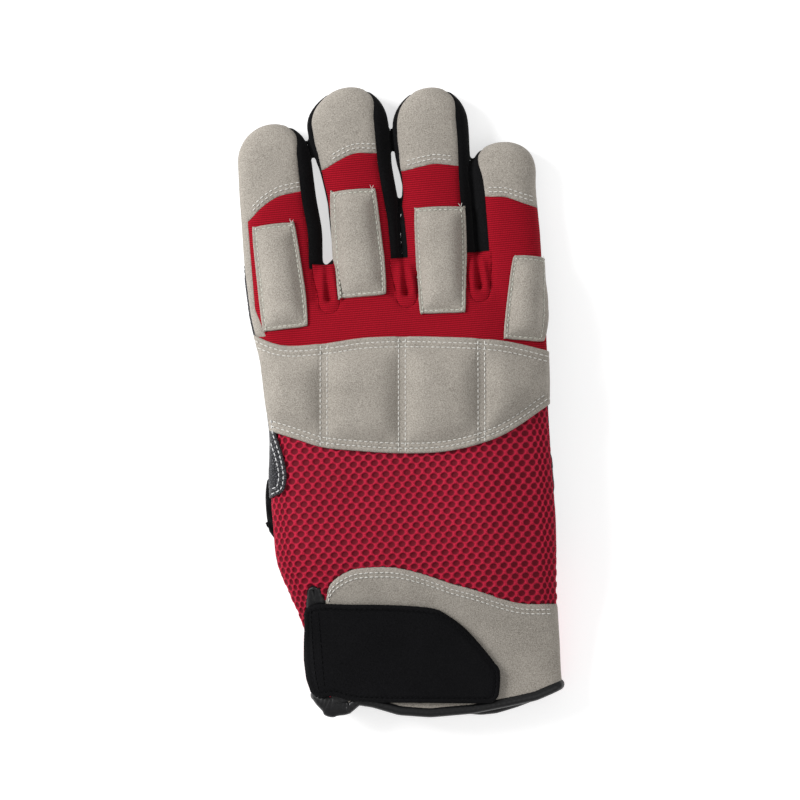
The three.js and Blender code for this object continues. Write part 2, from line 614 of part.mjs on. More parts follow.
/** The knuckle band's outline, and the outlines of the padded cells between its channels. */
function bandOutlines() {
  const top = bandStations.map((row) => plan([row.topAcross, row.top]));
  const foot = bandStations.map((row) => plan([row.footAcross, row.foot]));
  const ends = [0, ...bandStations.flatMap((row, index) => (row.channel ? [index] : [])), bandStations.length - 1];
  const cells = ends.slice(1).map((end, index) => {
    const cell = [...top.slice(ends[index], end + 1), ...foot.slice(ends[index], end + 1).reverse()];
    return cell.map(([x, y], place) => {
      const atTop = place < cell.length / 2;
      const first = place === 0 || place === cell.length - 1;
      const last = place === cell.length / 2 - 1 || place === cell.length / 2;
      const side = first ? CHANNEL_WIDTH : last ? -CHANNEL_WIDTH : 0;
      return [x + side, y + (atTop ? -BAND_BORDER : BAND_BORDER)];
    });
  });
  return { whole: [...top, ...foot.reverse()], cells };
}

/** The grey band over the knuckles with its padded cells. */
function buildBand(outlines) {
  const base = layer(GAP, GAP + BAND_BASE).intersect(prism(outlines.whole));
  const raised = layer(GAP, GAP + BAND_BASE + BAND_RISE);
  const band = outlines.cells.reduce((sum, cell) => sum.add(raised.intersect(prism(cell))), base);
  piece("knuckle_band", band.intersect(upper), "greySuede");
}

/** The patch at the thumb crotch, which wraps from the palm to the edge of the back. */
function crotchPatchSolid(extra) {
  const skin = layer(-WALL - FAR / 100, GAP + PATCH_THICKNESS + extra);
  const outline = rounded(thumbCrotchPatch.map(plan));
  const edge = rounded(thumbCrotchEdge.map(plan));
  const low = skin.intersect(prism(grown(outline, extra))).subtract(upper);
  const high = skin.intersect(prism(grown(edge, extra))).intersect(upperSide(0)).subtract(bandClear);
  return extra > 0 ? high.intersect(form(-FAR / 100)) : low.add(high).subtract(form(GAP));
}

/** The padded leather patches sewn on the palm. */
function buildPatches(thumbClear) {
  const patches = {
    scalloped_patch: scallopedPatch,
    heel_patch: heelPatch,
    thumb_base_patch: thumbBasePatch,
    index_side_patch: indexSidePatch,
  };
  const skin = layer(GAP, GAP + PATCH_THICKNESS).subtract(notLower).subtract(thumbClear);
  const crotch = prism(grown(rounded(thumbCrotchPatch.map(plan)), GAP));
  for (const [name, outline] of Object.entries(patches)) {
    const patch = skin.intersect(prism(rounded(outline.map(plan)))).subtract(crotch);
    piece(name, patch.subtract(gussetGaps), "grainedLeather");
  }
  piece("thumb_crotch_patch", crotchPatchSolid(0).subtract(thumbClear), "grainedLeather");
}

/** The thumb's tube along its path, thicker all round by a distance. */
function thumbTube(grow) {
  const shares = ovalShares(FINGER_SIDES, FINGER_SQUARENESS);
  const rows = thumbSections.map((row) => ({
    at: new THREE.Vector3(...plan([row.across, row.along]), row.middle * THUMB_THICKNESS),
    halfWidth: row.wide * THUMB_WIDTH + grow,
    halfHeight: (row.thick * THUMB_THICKNESS) / 2 + grow,
  }));
  const ways = rows.map((row, index) => {
    const way = rows[Math.min(index + 1, rows.length - 1)].at.clone().sub(rows[Math.max(index - 1, 0)].at);
    return way.setZ(0).normalize();
  });
  const last = rows.at(-1);
  const way = last.at.clone().sub(rows.at(-2).at).setZ(0).normalize();
  ways[ways.length - 1] = way;
  for (const angle of TIP_ANGLES.slice(1)) {
    const turn = THREE.MathUtils.degToRad(angle);
    rows.push({
      at: last.at.clone().addScaledVector(way, (THUMB_TIP_ROUND + grow) * Math.cos(turn)),
      halfWidth: last.halfWidth * Math.sin(turn),
      halfHeight: last.halfHeight * Math.sqrt(Math.sin(turn)),
    });
    ways.push(way);
  }
  rows[0].at.addScaledVector(ways[0], -grow);
  return loft(rows.map((row, index) => shares.map(([wide, high]) => new THREE.Vector3(
    row.at.x + wide * row.halfWidth * ways[index].y,
    row.at.y - wide * row.halfWidth * ways[index].x,
    row.at.z + high * row.halfHeight))));
}

/** The black thumb with its suede and leather tips. */
function buildThumb() {
  const outside = thumbTube(0).subtract(thumbTube(-WALL)).subtract(form(GAP));
  const [tipX, tipY] = plan([thumbSections.at(-1).across, thumbSections.at(-1).along]);
  const [seamX, seamY] = plan([thumbSections.at(-2).across, thumbSections.at(-2).along]);
  const way = new THREE.Vector2(tipX - seamX, tipY - seamY).normalize();
  const across = new THREE.Vector2(way.y, -way.x);
  const back = THUMB_CAP_LENGTH - THUMB_TIP_ROUND;
  const capZone = (shift) => prism([[back + shift, -1], [back + shift, 1], [-FAR, 1], [-FAR, -1]].map(([along, side]) => [
    tipX - way.x * along + across.x * side * THUMB_WIDTH,
    tipY - way.y * along + across.y * side * THUMB_WIDTH]));
  const seamHeight = thumbSections.at(-1).middle * THUMB_THICKNESS;
  const cap = outside.intersect(capZone(0));
  piece("thumb", outside.subtract(capZone(GAP)), "blackCloth");
  piece("thumb_front_cap", cap.intersect(floor.translate([0, 0, seamHeight + GAP])), "grainedLeather");
  piece("thumb_back_cap", cap.subtract(floor.translate([0, 0, seamHeight])), "greySuede");
}

/** The tab that closes the cuff, over the slit on the thumb side. */
function buildStrap() {
  const [startX, startY] = plan(STRAP_START);
  const outline = strapOutline.map(([s, t]) => [startX + s * STRAP_LENGTH, startY + t * STRAP_WIDTH]);
  const lift = BINDING_PROUD + GAP;
  const strap = layer(lift, lift + STRAP_THICKNESS).intersect(prism(outline)).intersect(upper);
  piece("wrist_strap", strap, "strapCloth");
}

/** The bound hem round the cuff and the binding round its slit. */
function buildBindings(slit, slitRim) {
  const roll = layer(-WALL - BINDING_PROUD, BINDING_PROUD);
  const hem = (line) => above(line).subtract(above(line, BINDING_HEIGHT));
  const backRoll = roll.intersect(hem(backHem.map(plan))).intersect(upperSide(-GAP / 3));
  const palmRoll = roll.intersect(hem(palmHem.map(plan))).subtract(upperSide(GAP / 3));
  piece("hem_binding", backRoll.add(palmRoll).subtract(slit.intersect(upper)), "glossyBinding");
  const rim = roll.intersect(slitRim).subtract(slit).intersect(upper);
  piece("slit_binding", rim.intersect(above(backHem.map(plan), BINDING_HEIGHT + GAP)), "glossyBinding");
}

const outlines = bandOutlines();
const bandClear = prism(grown(outlines.whole, GAP));
const slitPath = slitLine.map(plan);
const slitFoot = [slitPath[0][0], slitPath[0][1] - SLIT_BINDING_WIDTH];
const rimPath = [[slitPath[0][0], slitPath[0][1] + 0.1], ...slitPath.slice(1)];
const rimHalf = SLIT_BINDING_WIDTH + SLIT_WIDTH / 2;
const slit = prism(strip([slitFoot, ...slitPath.slice(1)], SLIT_WIDTH / 2));

buildSidesAndGussets();
buildBack(prism(strip([[rimPath[0][0], rimPath[0][1] + GAP], ...rimPath.slice(1)], rimHalf + GAP)));
buildPalm(thumbTube(-WALL));
buildPads();
buildBand(outlines);
buildPatches(thumbTube(GAP));
buildThumb();
buildStrap();
buildBindings(slit, prism(strip(rimPath, rimHalf)));

const box = new THREE.Box3().setFromObject(glove);
const middle = box.getCenter(new THREE.Vector3());
glove.position.set(-middle.x, -middle.y, -box.min.z);

const root = new THREE.Group();
root.add(glove);

export default root;
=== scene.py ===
"""The looks of a right-hand gardening glove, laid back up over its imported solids."""

import logging
import math
from collections.abc import Callable
from dataclasses import dataclass
from enum import Enum

import bmesh
import bpy
import numpy as np
from mathutils import Matrix, Vector, noise
from mathutils.bvhtree import BVHTree
from mathutils.kdtree import KDTree


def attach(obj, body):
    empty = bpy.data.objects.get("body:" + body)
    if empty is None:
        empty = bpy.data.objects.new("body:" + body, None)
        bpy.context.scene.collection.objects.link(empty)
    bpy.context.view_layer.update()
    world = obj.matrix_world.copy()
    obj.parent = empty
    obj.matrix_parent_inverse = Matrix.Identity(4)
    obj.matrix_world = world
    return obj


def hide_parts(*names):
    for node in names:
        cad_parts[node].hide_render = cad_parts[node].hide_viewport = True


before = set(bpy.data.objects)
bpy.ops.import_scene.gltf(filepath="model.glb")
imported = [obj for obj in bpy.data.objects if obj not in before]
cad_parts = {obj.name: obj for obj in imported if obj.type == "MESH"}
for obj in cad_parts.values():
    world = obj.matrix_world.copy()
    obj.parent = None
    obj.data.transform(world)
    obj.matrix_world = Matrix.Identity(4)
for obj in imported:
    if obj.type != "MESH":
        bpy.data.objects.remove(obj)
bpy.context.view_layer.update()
log = logging.getLogger("glove")

# Shapes are worked out in millimetres from the middle of the hem line, and moved by ORIGIN
MM = 0.001
ORIGIN = Vector((1.7475, -124.8717, 0.0))

# The driving lengths of the hand, its fingers and its thumb
PALM_LENGTH = 167.0
FINGER_LENGTH = 85.6
FINGER_WIDTH = 28.8
FINGER_THICKNESS = 16.5
FINGER_ROOT_DEPTH = 27.0
FINGER_GAP = 1.8
FINGERTIP_ROUND = 15.0
HAND_THICKNESS = 17.0
ARCH_HEIGHT = 18.5
FLOOR_PRESS = 0.8
THUMB_WIDTH = 37.0
THUMB_THICKNESS = 15.2
THUMB_TIP_ROUND = 18.0
THUMB_CAP_LENGTH = 32.0

# Cloth and what is sewn on it
WALL = 1.8
BACK_CAP_LENGTH = 27.5
PALM_CAP_LENGTH = 41.0
SIDE_DROP = 4.0
GUSSET_WIDTH = 11.0
GUSSET_LENGTH = 20.0
GUSSET_HEAD = 0.78
PAD_LENGTH = 43.0
PAD_WIDTH = 18.5
STRAP_LENGTH = 76.0
STRAP_WIDTH = 45.0
BINDING_HEIGHT = 3.2
HAND_SQUARENESS = 3.5
FINGER_SQUARENESS = 2.4
FAR_SIDE_DROP = 0.36
FAR_SIDE_START = 0.2
FAR_SIDE_END = 0.5
FAR = 200.0

# How finely the cloth is meshed
CLOTH_GRAIN = 0.8
STITCH_PITCH = 2.05
STITCH_LENGTH = 1.55
STITCH_THICKNESS = 0.5
HEM_STEPS = 360
SLIT_STEPS = 150
DOME_POWER = 1.6


class Side(Enum):
    """The two faces of the glove."""

    BACK = 1
    PALM = -1


@dataclass(frozen=True)
class Finger:
    """One finger: shares of the driving sizes, and its lean to the far side in degrees."""

    name: str
    width: float
    gap_after: float
    reach: float
    lean: float
    back_cap: float
    palm_cap: float
    cap_thumb_side: float
    cap_middle: float
    cap_far_side: float
    x: float = 0.0

    @property
    def half(self) -> float:
        """Half the finger's width."""
        return self.width * FINGER_WIDTH / 2

    @property
    def half_gap(self) -> float:
        """Half the gap to the next finger."""
        return self.gap_after * FINGER_GAP / 2

    @property
    def tip(self) -> float:
        """The finger's reach past the crotch line."""
        return self.reach * FINGER_LENGTH

    def point(self, u: np.ndarray | float, v: np.ndarray | float) -> tuple:
        """The place in plan of a point on the finger.

        Args:
            u: how far across the finger it is, to the far side.
            v: how far along the finger it is, past the crotch line.

        Returns:
            x and y.
        """
        lean = math.radians(self.lean)
        x = self.x + u * math.cos(lean) + v * math.sin(lean)
        return x, PALM_LENGTH - u * math.sin(lean) + v * math.cos(lean)


# How far a finger's edges stand out past its plain tube: at a distance from the tip, the
# thumb side and the far side
EDGE_SWELLS = {
    "index": [
        (0, 0, 0), (18, 0.3, 0), (31, 1.0, 0), (45, 1.5, 1.3), (58, 1.8, 0.2), (76, 1.3, 0),
        (92, 0, 0)],
    "middle": [
        (0, 1.0, 0), (8, 3.2, 0), (14, 3.9, 0), (22, 3.2, 0), (33, 0.1, 0), (45, -1.8, 1.0),
        (54, -1.8, 2.0), (72, -1.5, 2.0), (82, 0, 0)],
    "ring": [
        (0, 0.6, 0), (10, 1.8, 0.3), (19, 2.3, 0.6), (29, 1.8, 0.4), (36, 0, 0), (42, 0, 0), (51, 1.9, 0),
        (69, 1.9, 0), (79, 0, 0)],
    "little": [(0, 2.2, 2.2), (3, 2.4, 2.4), (9, 1.2, 1.2), (17, 0, 0), (60, 0, 0)],
}


def edge_swell(name: str, side: int, from_tip: np.ndarray) -> np.ndarray:
    """How far a finger's edge stands out on one side at a distance from its tip."""
    rows = np.array(EDGE_SWELLS[name])
    return softened(rows[:, 0], rows[:, 1 if side < 0 else 2], from_tip, 3.0)


def placed_fingers() -> tuple[list[Finger], float]:
    """The four fingers in their places.

    Returns:
        the fingers from the thumb side, and the width of the knuckles.
    """
    rows = [
        ("index", 1.035, 1.17, 0.856, -1.5, 1.05, 0.9, 0.32, 0.02, -0.05),
        ("middle", 1.0, 1.39, 1.0, -0.7, 1.0, 1.0, 0.17, -0.02, 0.02),
        ("ring", 0.965, 0.44, 0.97, 0.4, 1.13, 1.05, 0.06, 0.0, 0.07),
        ("little", 0.882, 0.0, 0.688, 0.1, 0.8, 0.8, -0.04, 0.02, 0.26),
    ]
    width = sum(row[1] * FINGER_WIDTH + row[2] * FINGER_GAP for row in rows)
    cursor = -width / 2
    fingers = []
    for row in rows:
        finger = Finger(*row, x=cursor + row[1] * FINGER_WIDTH / 2)
        cursor += 2 * finger.half + 2 * finger.half_gap
        fingers.append(finger)
    return fingers, width


FINGERS, KNUCKLE_WIDTH = placed_fingers()

# Sections of the hand: along as a share of the palm, the two edges as shares of the
# knuckle width, thick as a share of the hand's thickness, lift as a share of the arch
HAND_SECTIONS = np.array([
    [-0.04, -0.403, 0.456, 0.84, 0.06],
    [0.07, -0.4, 0.456, 0.86, 0.1],
    [0.16, -0.402, 0.459, 0.9, 0.26],
    [0.24, -0.415, 0.462, 0.94, 0.5],
    [0.31, -0.452, 0.466, 0.97, 0.76],
    [0.39, -0.488, 0.474, 1, 0.93],
    [0.54, -0.49, 0.479, 1, 1],
    [0.69, -0.468, 0.478, 1, 1],
    [0.82, -0.478, 0.491, 1, 0.95],
    [0.93, -0.488, 0.498, 0.99, 0.7],
    [1.0, -0.484, 0.494, 0.96, 0.45],
])
# The lift goes on along the fingers: share of the finger length, share of the arch
FINGER_LIFTS = np.array([[0.12, 0.2], [0.26, 0.06], [0.42, 0], [1.2, 0]])
# Sections of the thumb: across, along, half width, height of its middle, thickness
THUMB_SECTIONS = np.array([
    [-0.475, 0.425, 0.36, 1.16, 0.8],
    [-0.44, 0.44, 0.56, 1.1, 1.2],
    [-0.385, 0.47, 0.64, 0.97, 1.42],
    [-0.3, 0.525, 0.6, 0.7, 1.36],
    [-0.19, 0.6, 0.52, 0.49, 1.08],
    [-0.07, 0.655, 0.5, 0.45, 1],
    [0.035, 0.705, 0.495, 0.44, 0.98],
    [0.145, 0.733, 0.485, 0.425, 0.95],
])


def plan(outline: list[tuple[float, float]]) -> list[tuple[float, float]]:
    """Places in plan from shares of the knuckle width and the palm's length."""
    return [(across * KNUCKLE_WIDTH, along * PALM_LENGTH) for across, along in outline]


def softened(places: np.ndarray, values: np.ndarray, at: np.ndarray, reach: float) -> np.ndarray:
    """A column of a table read between its rows, with its corners rounded.

    Args:
        places: where the rows stand.
        values: the column.
        at: where it is read.
        reach: how far the rounding reaches each way.

    Returns:
        the values there.
    """
    taps = np.linspace(-1, 1, 7) * reach
    return sum(np.interp(at + tap, places, values) for tap in taps) / len(taps)


def smooth_share(value: np.ndarray, low: float, high: float) -> np.ndarray:
    """0 below low, 1 above high and a smooth rise between them."""
    share = np.clip((value - low) / (high - low), 0, 1)
    return share * share * (3 - 2 * share)


def middle_height(x: np.ndarray, y: np.ndarray) -> np.ndarray:
    """The height of the seam line between the glove's back and its palm."""
    places = np.concatenate([
        HAND_SECTIONS[:, 0] * PALM_LENGTH, PALM_LENGTH + FINGER_LIFTS[:, 0] * FINGER_LENGTH])
    values = np.concatenate([HAND_SECTIONS[:, 4], FINGER_LIFTS[:, 1]])
    lift = softened(places, values, y, 5.0)
    drop = smooth_share(np.asarray(x) / KNUCKLE_WIDTH, FAR_SIDE_START, FAR_SIDE_END)
    return FINGER_THICKNESS / 2 - FLOOR_PRESS + lift * ARCH_HEIGHT * (1 - FAR_SIDE_DROP * drop)


def oval(turn: np.ndarray, squareness: float) -> tuple[np.ndarray, np.ndarray]:
    """Shares of the half width and half height round a flattened oval section."""
    wide = np.cos(turn)
    high = np.sign(np.sin(turn)) * (1 - np.abs(wide) ** squareness).clip(0) ** (1 / squareness)
    return wide, high


def hand_edges(y: np.ndarray) -> tuple[np.ndarray, np.ndarray]:
    """The middle and the half width of the hand at a place along it."""
    along = y / PALM_LENGTH
    left = softened(HAND_SECTIONS[:, 0], HAND_SECTIONS[:, 1], along, 0.03) * KNUCKLE_WIDTH
    right = softened(HAND_SECTIONS[:, 0], HAND_SECTIONS[:, 2], along, 0.03) * KNUCKLE_WIDTH
    return (left + right) / 2, (right - left) / 2


def hand_surface(around: np.ndarray, y: np.ndarray) -> np.ndarray:
    """Points on the hand's tube.

    Args:
        around: the share of the turn round the section, from the far edge over the back.
        y: the place along the hand.

    Returns:
        one row of x, y and z for each point.
    """
    wide, high = oval(2 * math.pi * around, HAND_SQUARENESS)
    centre, half = hand_edges(y)
    thick = softened(HAND_SECTIONS[:, 0], HAND_SECTIONS[:, 3], y / PALM_LENGTH, 0.03)
    x = centre + wide * half
    return np.column_stack([x, y, middle_height(x, y) + high * HAND_THICKNESS * thick / 2])


def finger_surface(finger: Finger, around: np.ndarray, along: np.ndarray) -> np.ndarray:
    """Points on a finger's tube with its round tip.

    Args:
        finger: the finger.
        around: the share of the turn round the section.
        along: the share of the way from the root, inside the hand, to the tip.

    Returns:
        one row of x, y and z for each point.
    """
    wide, high = oval(2 * math.pi * around, FINGER_SQUARENESS)
    straight = finger.tip - FINGERTIP_ROUND
    tube_share = 0.72
    turn = (math.pi / 2) * (1 - (along - tube_share) / (1 - tube_share)).clip(0, 1)
    on_tube = -FINGER_ROOT_DEPTH + (straight + FINGER_ROOT_DEPTH) * along / tube_share
    v = np.where(along < tube_share, on_tube, straight + FINGERTIP_ROUND * np.cos(turn))
    taper = np.where(along < tube_share, 1.0, np.sin(turn))
    root = smooth_share(v, -FINGER_ROOT_DEPTH, 0.0)
    swell = np.where(
        wide < 0, edge_swell(finger.name, -1, finger.tip - v),
        edge_swell(finger.name, 1, finger.tip - v))
    u = wide * (finger.half * taper * (0.9 + 0.1 * root) + swell * np.sqrt(taper))
    x, y = finger.point(u, v)
    rise = high * FINGER_THICKNESS / 2 * np.sqrt(taper) * (0.78 + 0.22 * root)
    return np.column_stack([x, y, middle_height(x, y) + rise])


def outline_distance(points: np.ndarray, outline: list[tuple[float, float]]) -> np.ndarray:
    """How far points in plan lie outside an outline, and below zero inside it."""
    p = points[:, :2]
    best = np.full(len(p), np.inf)
    inside = np.zeros(len(p), bool)
    for a, b in zip(outline, [*outline[1:], outline[0]]):
        a = np.array(a)
        b = np.array(b)
        way = b - a
        share = (((p - a) @ way) / max(way @ way, 1e-9)).clip(0, 1)
        best = np.minimum(best, np.linalg.norm(p - a - share[:, None] * way, axis=1))
        spans = (a[1] > p[:, 1]) != (b[1] > p[:, 1])
        level = (p[:, 1] - a[1]) / np.where(spans, b[1] - a[1], 1.0)
        inside ^= spans & (p[:, 0] < a[0] + way[0] * level)
    return np.where(inside, -best, best)


def rounded(outline: list[tuple[float, float]], steps: int = 8, closed: bool = True) -> list:
    """An outline rounded through its points with Catmull-Rom curves.

    Args:
        outline: its points in plan.
        steps: the points on each stretch.
        closed: whether the last point joins the first.

    Returns:
        the points of the rounded outline.
    """
    points = [Vector((*p, 0.0)) for p in outline]
    count = len(points)
    found = []
    for index in range(count if closed else count - 1):
        if closed:
            a, b, c, d = (points[(index + step) % count] for step in (-1, 0, 1, 2))
        else:
            a, b, c, d = (points[min(max(index + step, 0), count - 1)] for step in (-1, 0, 1, 2))
        for step in range(steps):
            t = step / steps
            at = 0.5 * (2 * b + (c - a) * t + (2 * a - 5 * b + 4 * c - d) * t * t
                        + (3 * b - a - 3 * c + d) * t ** 3)
            found.append((at.x, at.y))
    if not closed:
        found.append((points[-1].x, points[-1].y))
    return found


def inset(outline: list[tuple[float, float]], distance: float, closed: bool = True) -> list:
    """A line moved to its left by a distance, so that a closed one that turns left shrinks."""
    moved = []
    count = len(outline)
    for index in range(count):
        before = outline[index - 1] if closed or index else outline[0]
        after = outline[(index + 1) % count] if closed or index < count - 1 else outline[-1]
        way = Vector((after[0] - before[0], after[1] - before[1]))
        if way.length > 1e-9:
            way.normalize()
        moved.append((outline[index][0] - way.y * distance, outline[index][1] + way.x * distance))
    return moved


def turned_left(outline: list[tuple[float, float]]) -> list:
    """The same closed outline, running anticlockwise."""
    area = sum(a[0] * b[1] - b[0] * a[1] for a, b in zip(outline, [*outline[1:], outline[0]]))
    return list(outline) if area > 0 else list(reversed(outline))


def above(line: list[tuple[float, float]], shift: float = 0.0) -> list:
    """The outline of everything in plan above a line across the glove, moved up by a shift."""
    moved = [(x, y + shift) for x, y in line]
    return [*moved, (FAR, moved[-1][1]), (FAR, 2 * FAR), (-FAR, 2 * FAR), (-FAR, moved[0][1])]


def evenly(line: np.ndarray, values: np.ndarray, count: int) -> np.ndarray:
    """Values given at a line's points, read at a count of even steps along it."""
    reach = np.concatenate([[0], np.cumsum(np.linalg.norm(np.diff(line, axis=0), axis=1))])
    even = np.linspace(0, reach[-1], count)
    return np.column_stack([np.interp(even, reach, values[:, axis]) for axis in range(3)])


def soft_edge(depth: np.ndarray, thick: float, reach: float = 0.25, start: float = 0.6) -> np.ndarray:
    """The thickness of a sewn edge, which rises from its rim within a reach."""
    return thick * (1 - np.exp(-(depth.clip(0) / reach + start)))


def dome_share(away: np.ndarray, swell: float) -> np.ndarray:
    """How far stuffing has risen at a distance from the seam that holds it down."""
    return 1 - np.exp(-(away.clip(0) / swell) ** DOME_POWER)


def places_of(bm: bmesh.types.BMesh) -> np.ndarray:
    """The places of a mesh's vertices, a row each."""
    return np.array([v.co[:] for v in bm.verts], float).reshape(-1, 3)


def cut_along(bm: bmesh.types.BMesh, value: Callable[[np.ndarray], np.ndarray]) -> None:
    """Gives a mesh edges all along the line where a value passes through zero.

    Args:
        bm: the mesh, which gets an integer layer that marks the vertices on such lines.
        value: gives the value at each row of places.
    """
    seam = bm.verts.layers.int.get("seam") or bm.verts.layers.int.new("seam")
    bm.verts.index_update()
    values = value(places_of(bm)).tolist()
    near = 0.25
    ends = np.array([(e.verts[0].index, e.verts[1].index) for e in bm.edges])
    signs = np.sign(np.array(values))
    bm.edges.ensure_lookup_table()
    crossing = [bm.edges[i] for i in np.nonzero(signs[ends[:, 0]] * signs[ends[:, 1]] < 0)[0]]
    for edge in crossing:
        for vertex, other in (edge.verts, reversed(edge.verts)):
            here = values[vertex.index]
            there = values[other.index]
            if here * there < 0 and here / (here - there) < near and not vertex[seam]:
                vertex.co = vertex.co.lerp(other.co, here / (here - there))
                values[vertex.index] = 0.0
    line = {v for edge in crossing for v in edge.verts if values[v.index] == 0.0}
    for edge in crossing:
        start, end = edge.verts
        here = values[start.index]
        there = values[end.index]
        if here * there < 0:
            line.add(bmesh.utils.edge_split(edge, start, here / (here - there))[1])
    bmesh.ops.connect_verts(bm, verts=list(line))
    for vertex in line:
        vertex[seam] = 1


def keep_faces(bm: bmesh.types.BMesh, wanted: Callable[[np.ndarray], np.ndarray]) -> None:
    """Deletes the faces whose middles aren't wanted."""
    middles = np.array([f.calc_center_median()[:] for f in bm.faces]).reshape(-1, 3)
    keep = wanted(middles)
    unwanted = [face for face, kept in zip(bm.faces, keep) if not kept]
    bmesh.ops.delete(bm, geom=unwanted, context="FACES")


def drop_crumbs(bm: bmesh.types.BMesh, fewest: int) -> None:
    """Deletes what lies apart from the piece and has fewer faces than the fewest."""
    left = set(bm.faces)
    crumbs = []
    while left:
        start = left.pop()
        island = [start]
        reached = [start]
        while reached:
            face = reached.pop()
            for edge in face.edges:
                for other in edge.link_faces:
                    if other in left:
                        left.remove(other)
                        reached.append(other)
                        island.append(other)
        if len(island) < fewest:
            crumbs.extend(island)
    bmesh.ops.delete(bm, geom=crumbs, context="FACES")


def edge_distance(bm: bmesh.types.BMesh) -> np.ndarray:
    """How far each vertex lies from the nearest open edge of its mesh."""
    rim = [v for v in bm.verts if v.is_boundary]
    tree = KDTree(len(rim))
    for index, vertex in enumerate(rim):
        tree.insert(vertex.co, index)
    tree.balance()
    return np.array([tree.find(v.co)[2] for v in bm.verts])


def offset(bm: bmesh.types.BMesh, distances: np.ndarray) -> None:
    """Moves each vertex along its normal by its own distance."""
    bm.normal_update()
    moves = [v.normal * float(d) for v, d in zip(bm.verts, distances)]
    for vertex, move in zip(bm.verts, moves):
        vertex.co += move


def press_on_floor(bm: bmesh.types.BMesh) -> None:
    """Flattens what would reach below the surface that the glove lies on."""
    for vertex in bm.verts:
        vertex.co.z = max(vertex.co.z, 0.0)


def line_inside(outer: bmesh.types.BMesh, inner: bmesh.types.BMesh) -> None:
    """Closes a sheet: a rim goes down from its open edges and an inner sheet lies under it.

    Args:
        outer: the sheet's outer side, which becomes the closed piece.
        inner: the same sheet's inner side, still facing outwards. It is used up.
    """
    tree = KDTree(len(inner.verts))
    for index, vertex in enumerate(inner.verts):
        tree.insert(vertex.co, index)
    tree.balance()
    rim = [edge for edge in outer.edges if edge.is_boundary]
    grown = bmesh.ops.extrude_edge_only(outer, edges=rim)["geom"]
    for vertex in (v for v in grown if isinstance(v, bmesh.types.BMVert)):
        vertex.co = tree.find(vertex.co)[0]
    bmesh.ops.reverse_faces(inner, faces=inner.faces)
    mesh = bpy.data.meshes.new("inner side")
    inner.to_mesh(mesh)
    inner.free()
    outer.from_mesh(mesh)
    bpy.data.meshes.remove(mesh)


def tube(
        rings: int, sides: int,
        place: Callable[[np.ndarray, np.ndarray], np.ndarray]) -> bmesh.types.BMesh:
    """A closed tube rolled from a grid.

    Args:
        rings: the steps along it.
        sides: the steps round it.
        place: gives the points for the shares around and along.

    Returns:
        its mesh, with faces over its ends.
    """
    bm = bmesh.new()
    bmesh.ops.create_grid(bm, x_segments=sides, y_segments=rings, size=0.5)
    shares = places_of(bm)[:, :2] + 0.5
    for vertex, point in zip(bm.verts, place(shares[:, 0], shares[:, 1])):
        vertex.co = point
    bmesh.ops.remove_doubles(bm, verts=bm.verts, dist=1e-3)
    bmesh.ops.holes_fill(bm, edges=bm.edges, sides=0)
    bmesh.ops.recalc_face_normals(bm, faces=bm.faces)
    return bm


def remeshed(parts: list[bmesh.types.BMesh], grain: float, smoothing: int) -> bmesh.types.BMesh:
    """Several closed meshes fused into one even skin.

    Args:
        parts: the meshes, which are used up.
        grain: the size of the skin's faces.
        smoothing: how often its vertices are smoothed.

    Returns:
        the skin.
    """
    joined = bmesh.new()
    for part in parts:
        mesh = bpy.data.meshes.new("part")
        part.to_mesh(mesh)
        part.free()
        joined.from_mesh(mesh)
        bpy.data.meshes.remove(mesh)
    mesh = bpy.data.meshes.new("fused")
    joined.to_mesh(mesh)
    joined.free()
    holder = bpy.data.objects.new("fused", mesh)
    bpy.context.scene.collection.objects.link(holder)
    remesh = holder.modifiers.new("remesh", "REMESH")
    remesh.mode = "VOXEL"
    remesh.voxel_size = grain
    graph = bpy.context.evaluated_depsgraph_get()
    skin = bmesh.new()
    skin.from_mesh(holder.evaluated_get(graph).to_mesh())
    bpy.data.objects.remove(holder)
    for _ in range(smoothing):
        bmesh.ops.smooth_vert(
            skin, verts=skin.verts, factor=0.5, use_axis_x=True, use_axis_y=True, use_axis_z=True)
    return skin


def finished(
        bm: bmesh.types.BMesh, name: str, finish: "Finish", slot: str,
        *nodes: str) -> bpy.types.Object:
    """Turns a mesh in millimetres into a piece of the glove in the frame.

    Args:
        bm: the mesh, which is used up.
        name: the piece's name.
        finish: what it is made of.
        slot: the name of a material slot for it, which is not used.
        nodes: the CAD nodes that it stands for.

    Returns:
        the piece.
    """
    press_on_floor(bm)
    bmesh.ops.transform(
        bm, verts=bm.verts, matrix=Matrix.Scale(MM, 4) @ Matrix.Translation(ORIGIN))
    mesh = bpy.data.meshes.new(name)
    bm.to_mesh(mesh)
    bm.free()
    mesh.shade_smooth()
    piece = bpy.data.objects.new(f"{name}_sewn" if nodes else name, mesh)
    bpy.context.scene.collection.objects.link(piece)
    mesh.materials.append(finish.material())
    if nodes:
        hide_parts(*nodes)
    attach(piece, "root")
    log.info("%s: %d faces", name, len(mesh.polygons))
    return piece


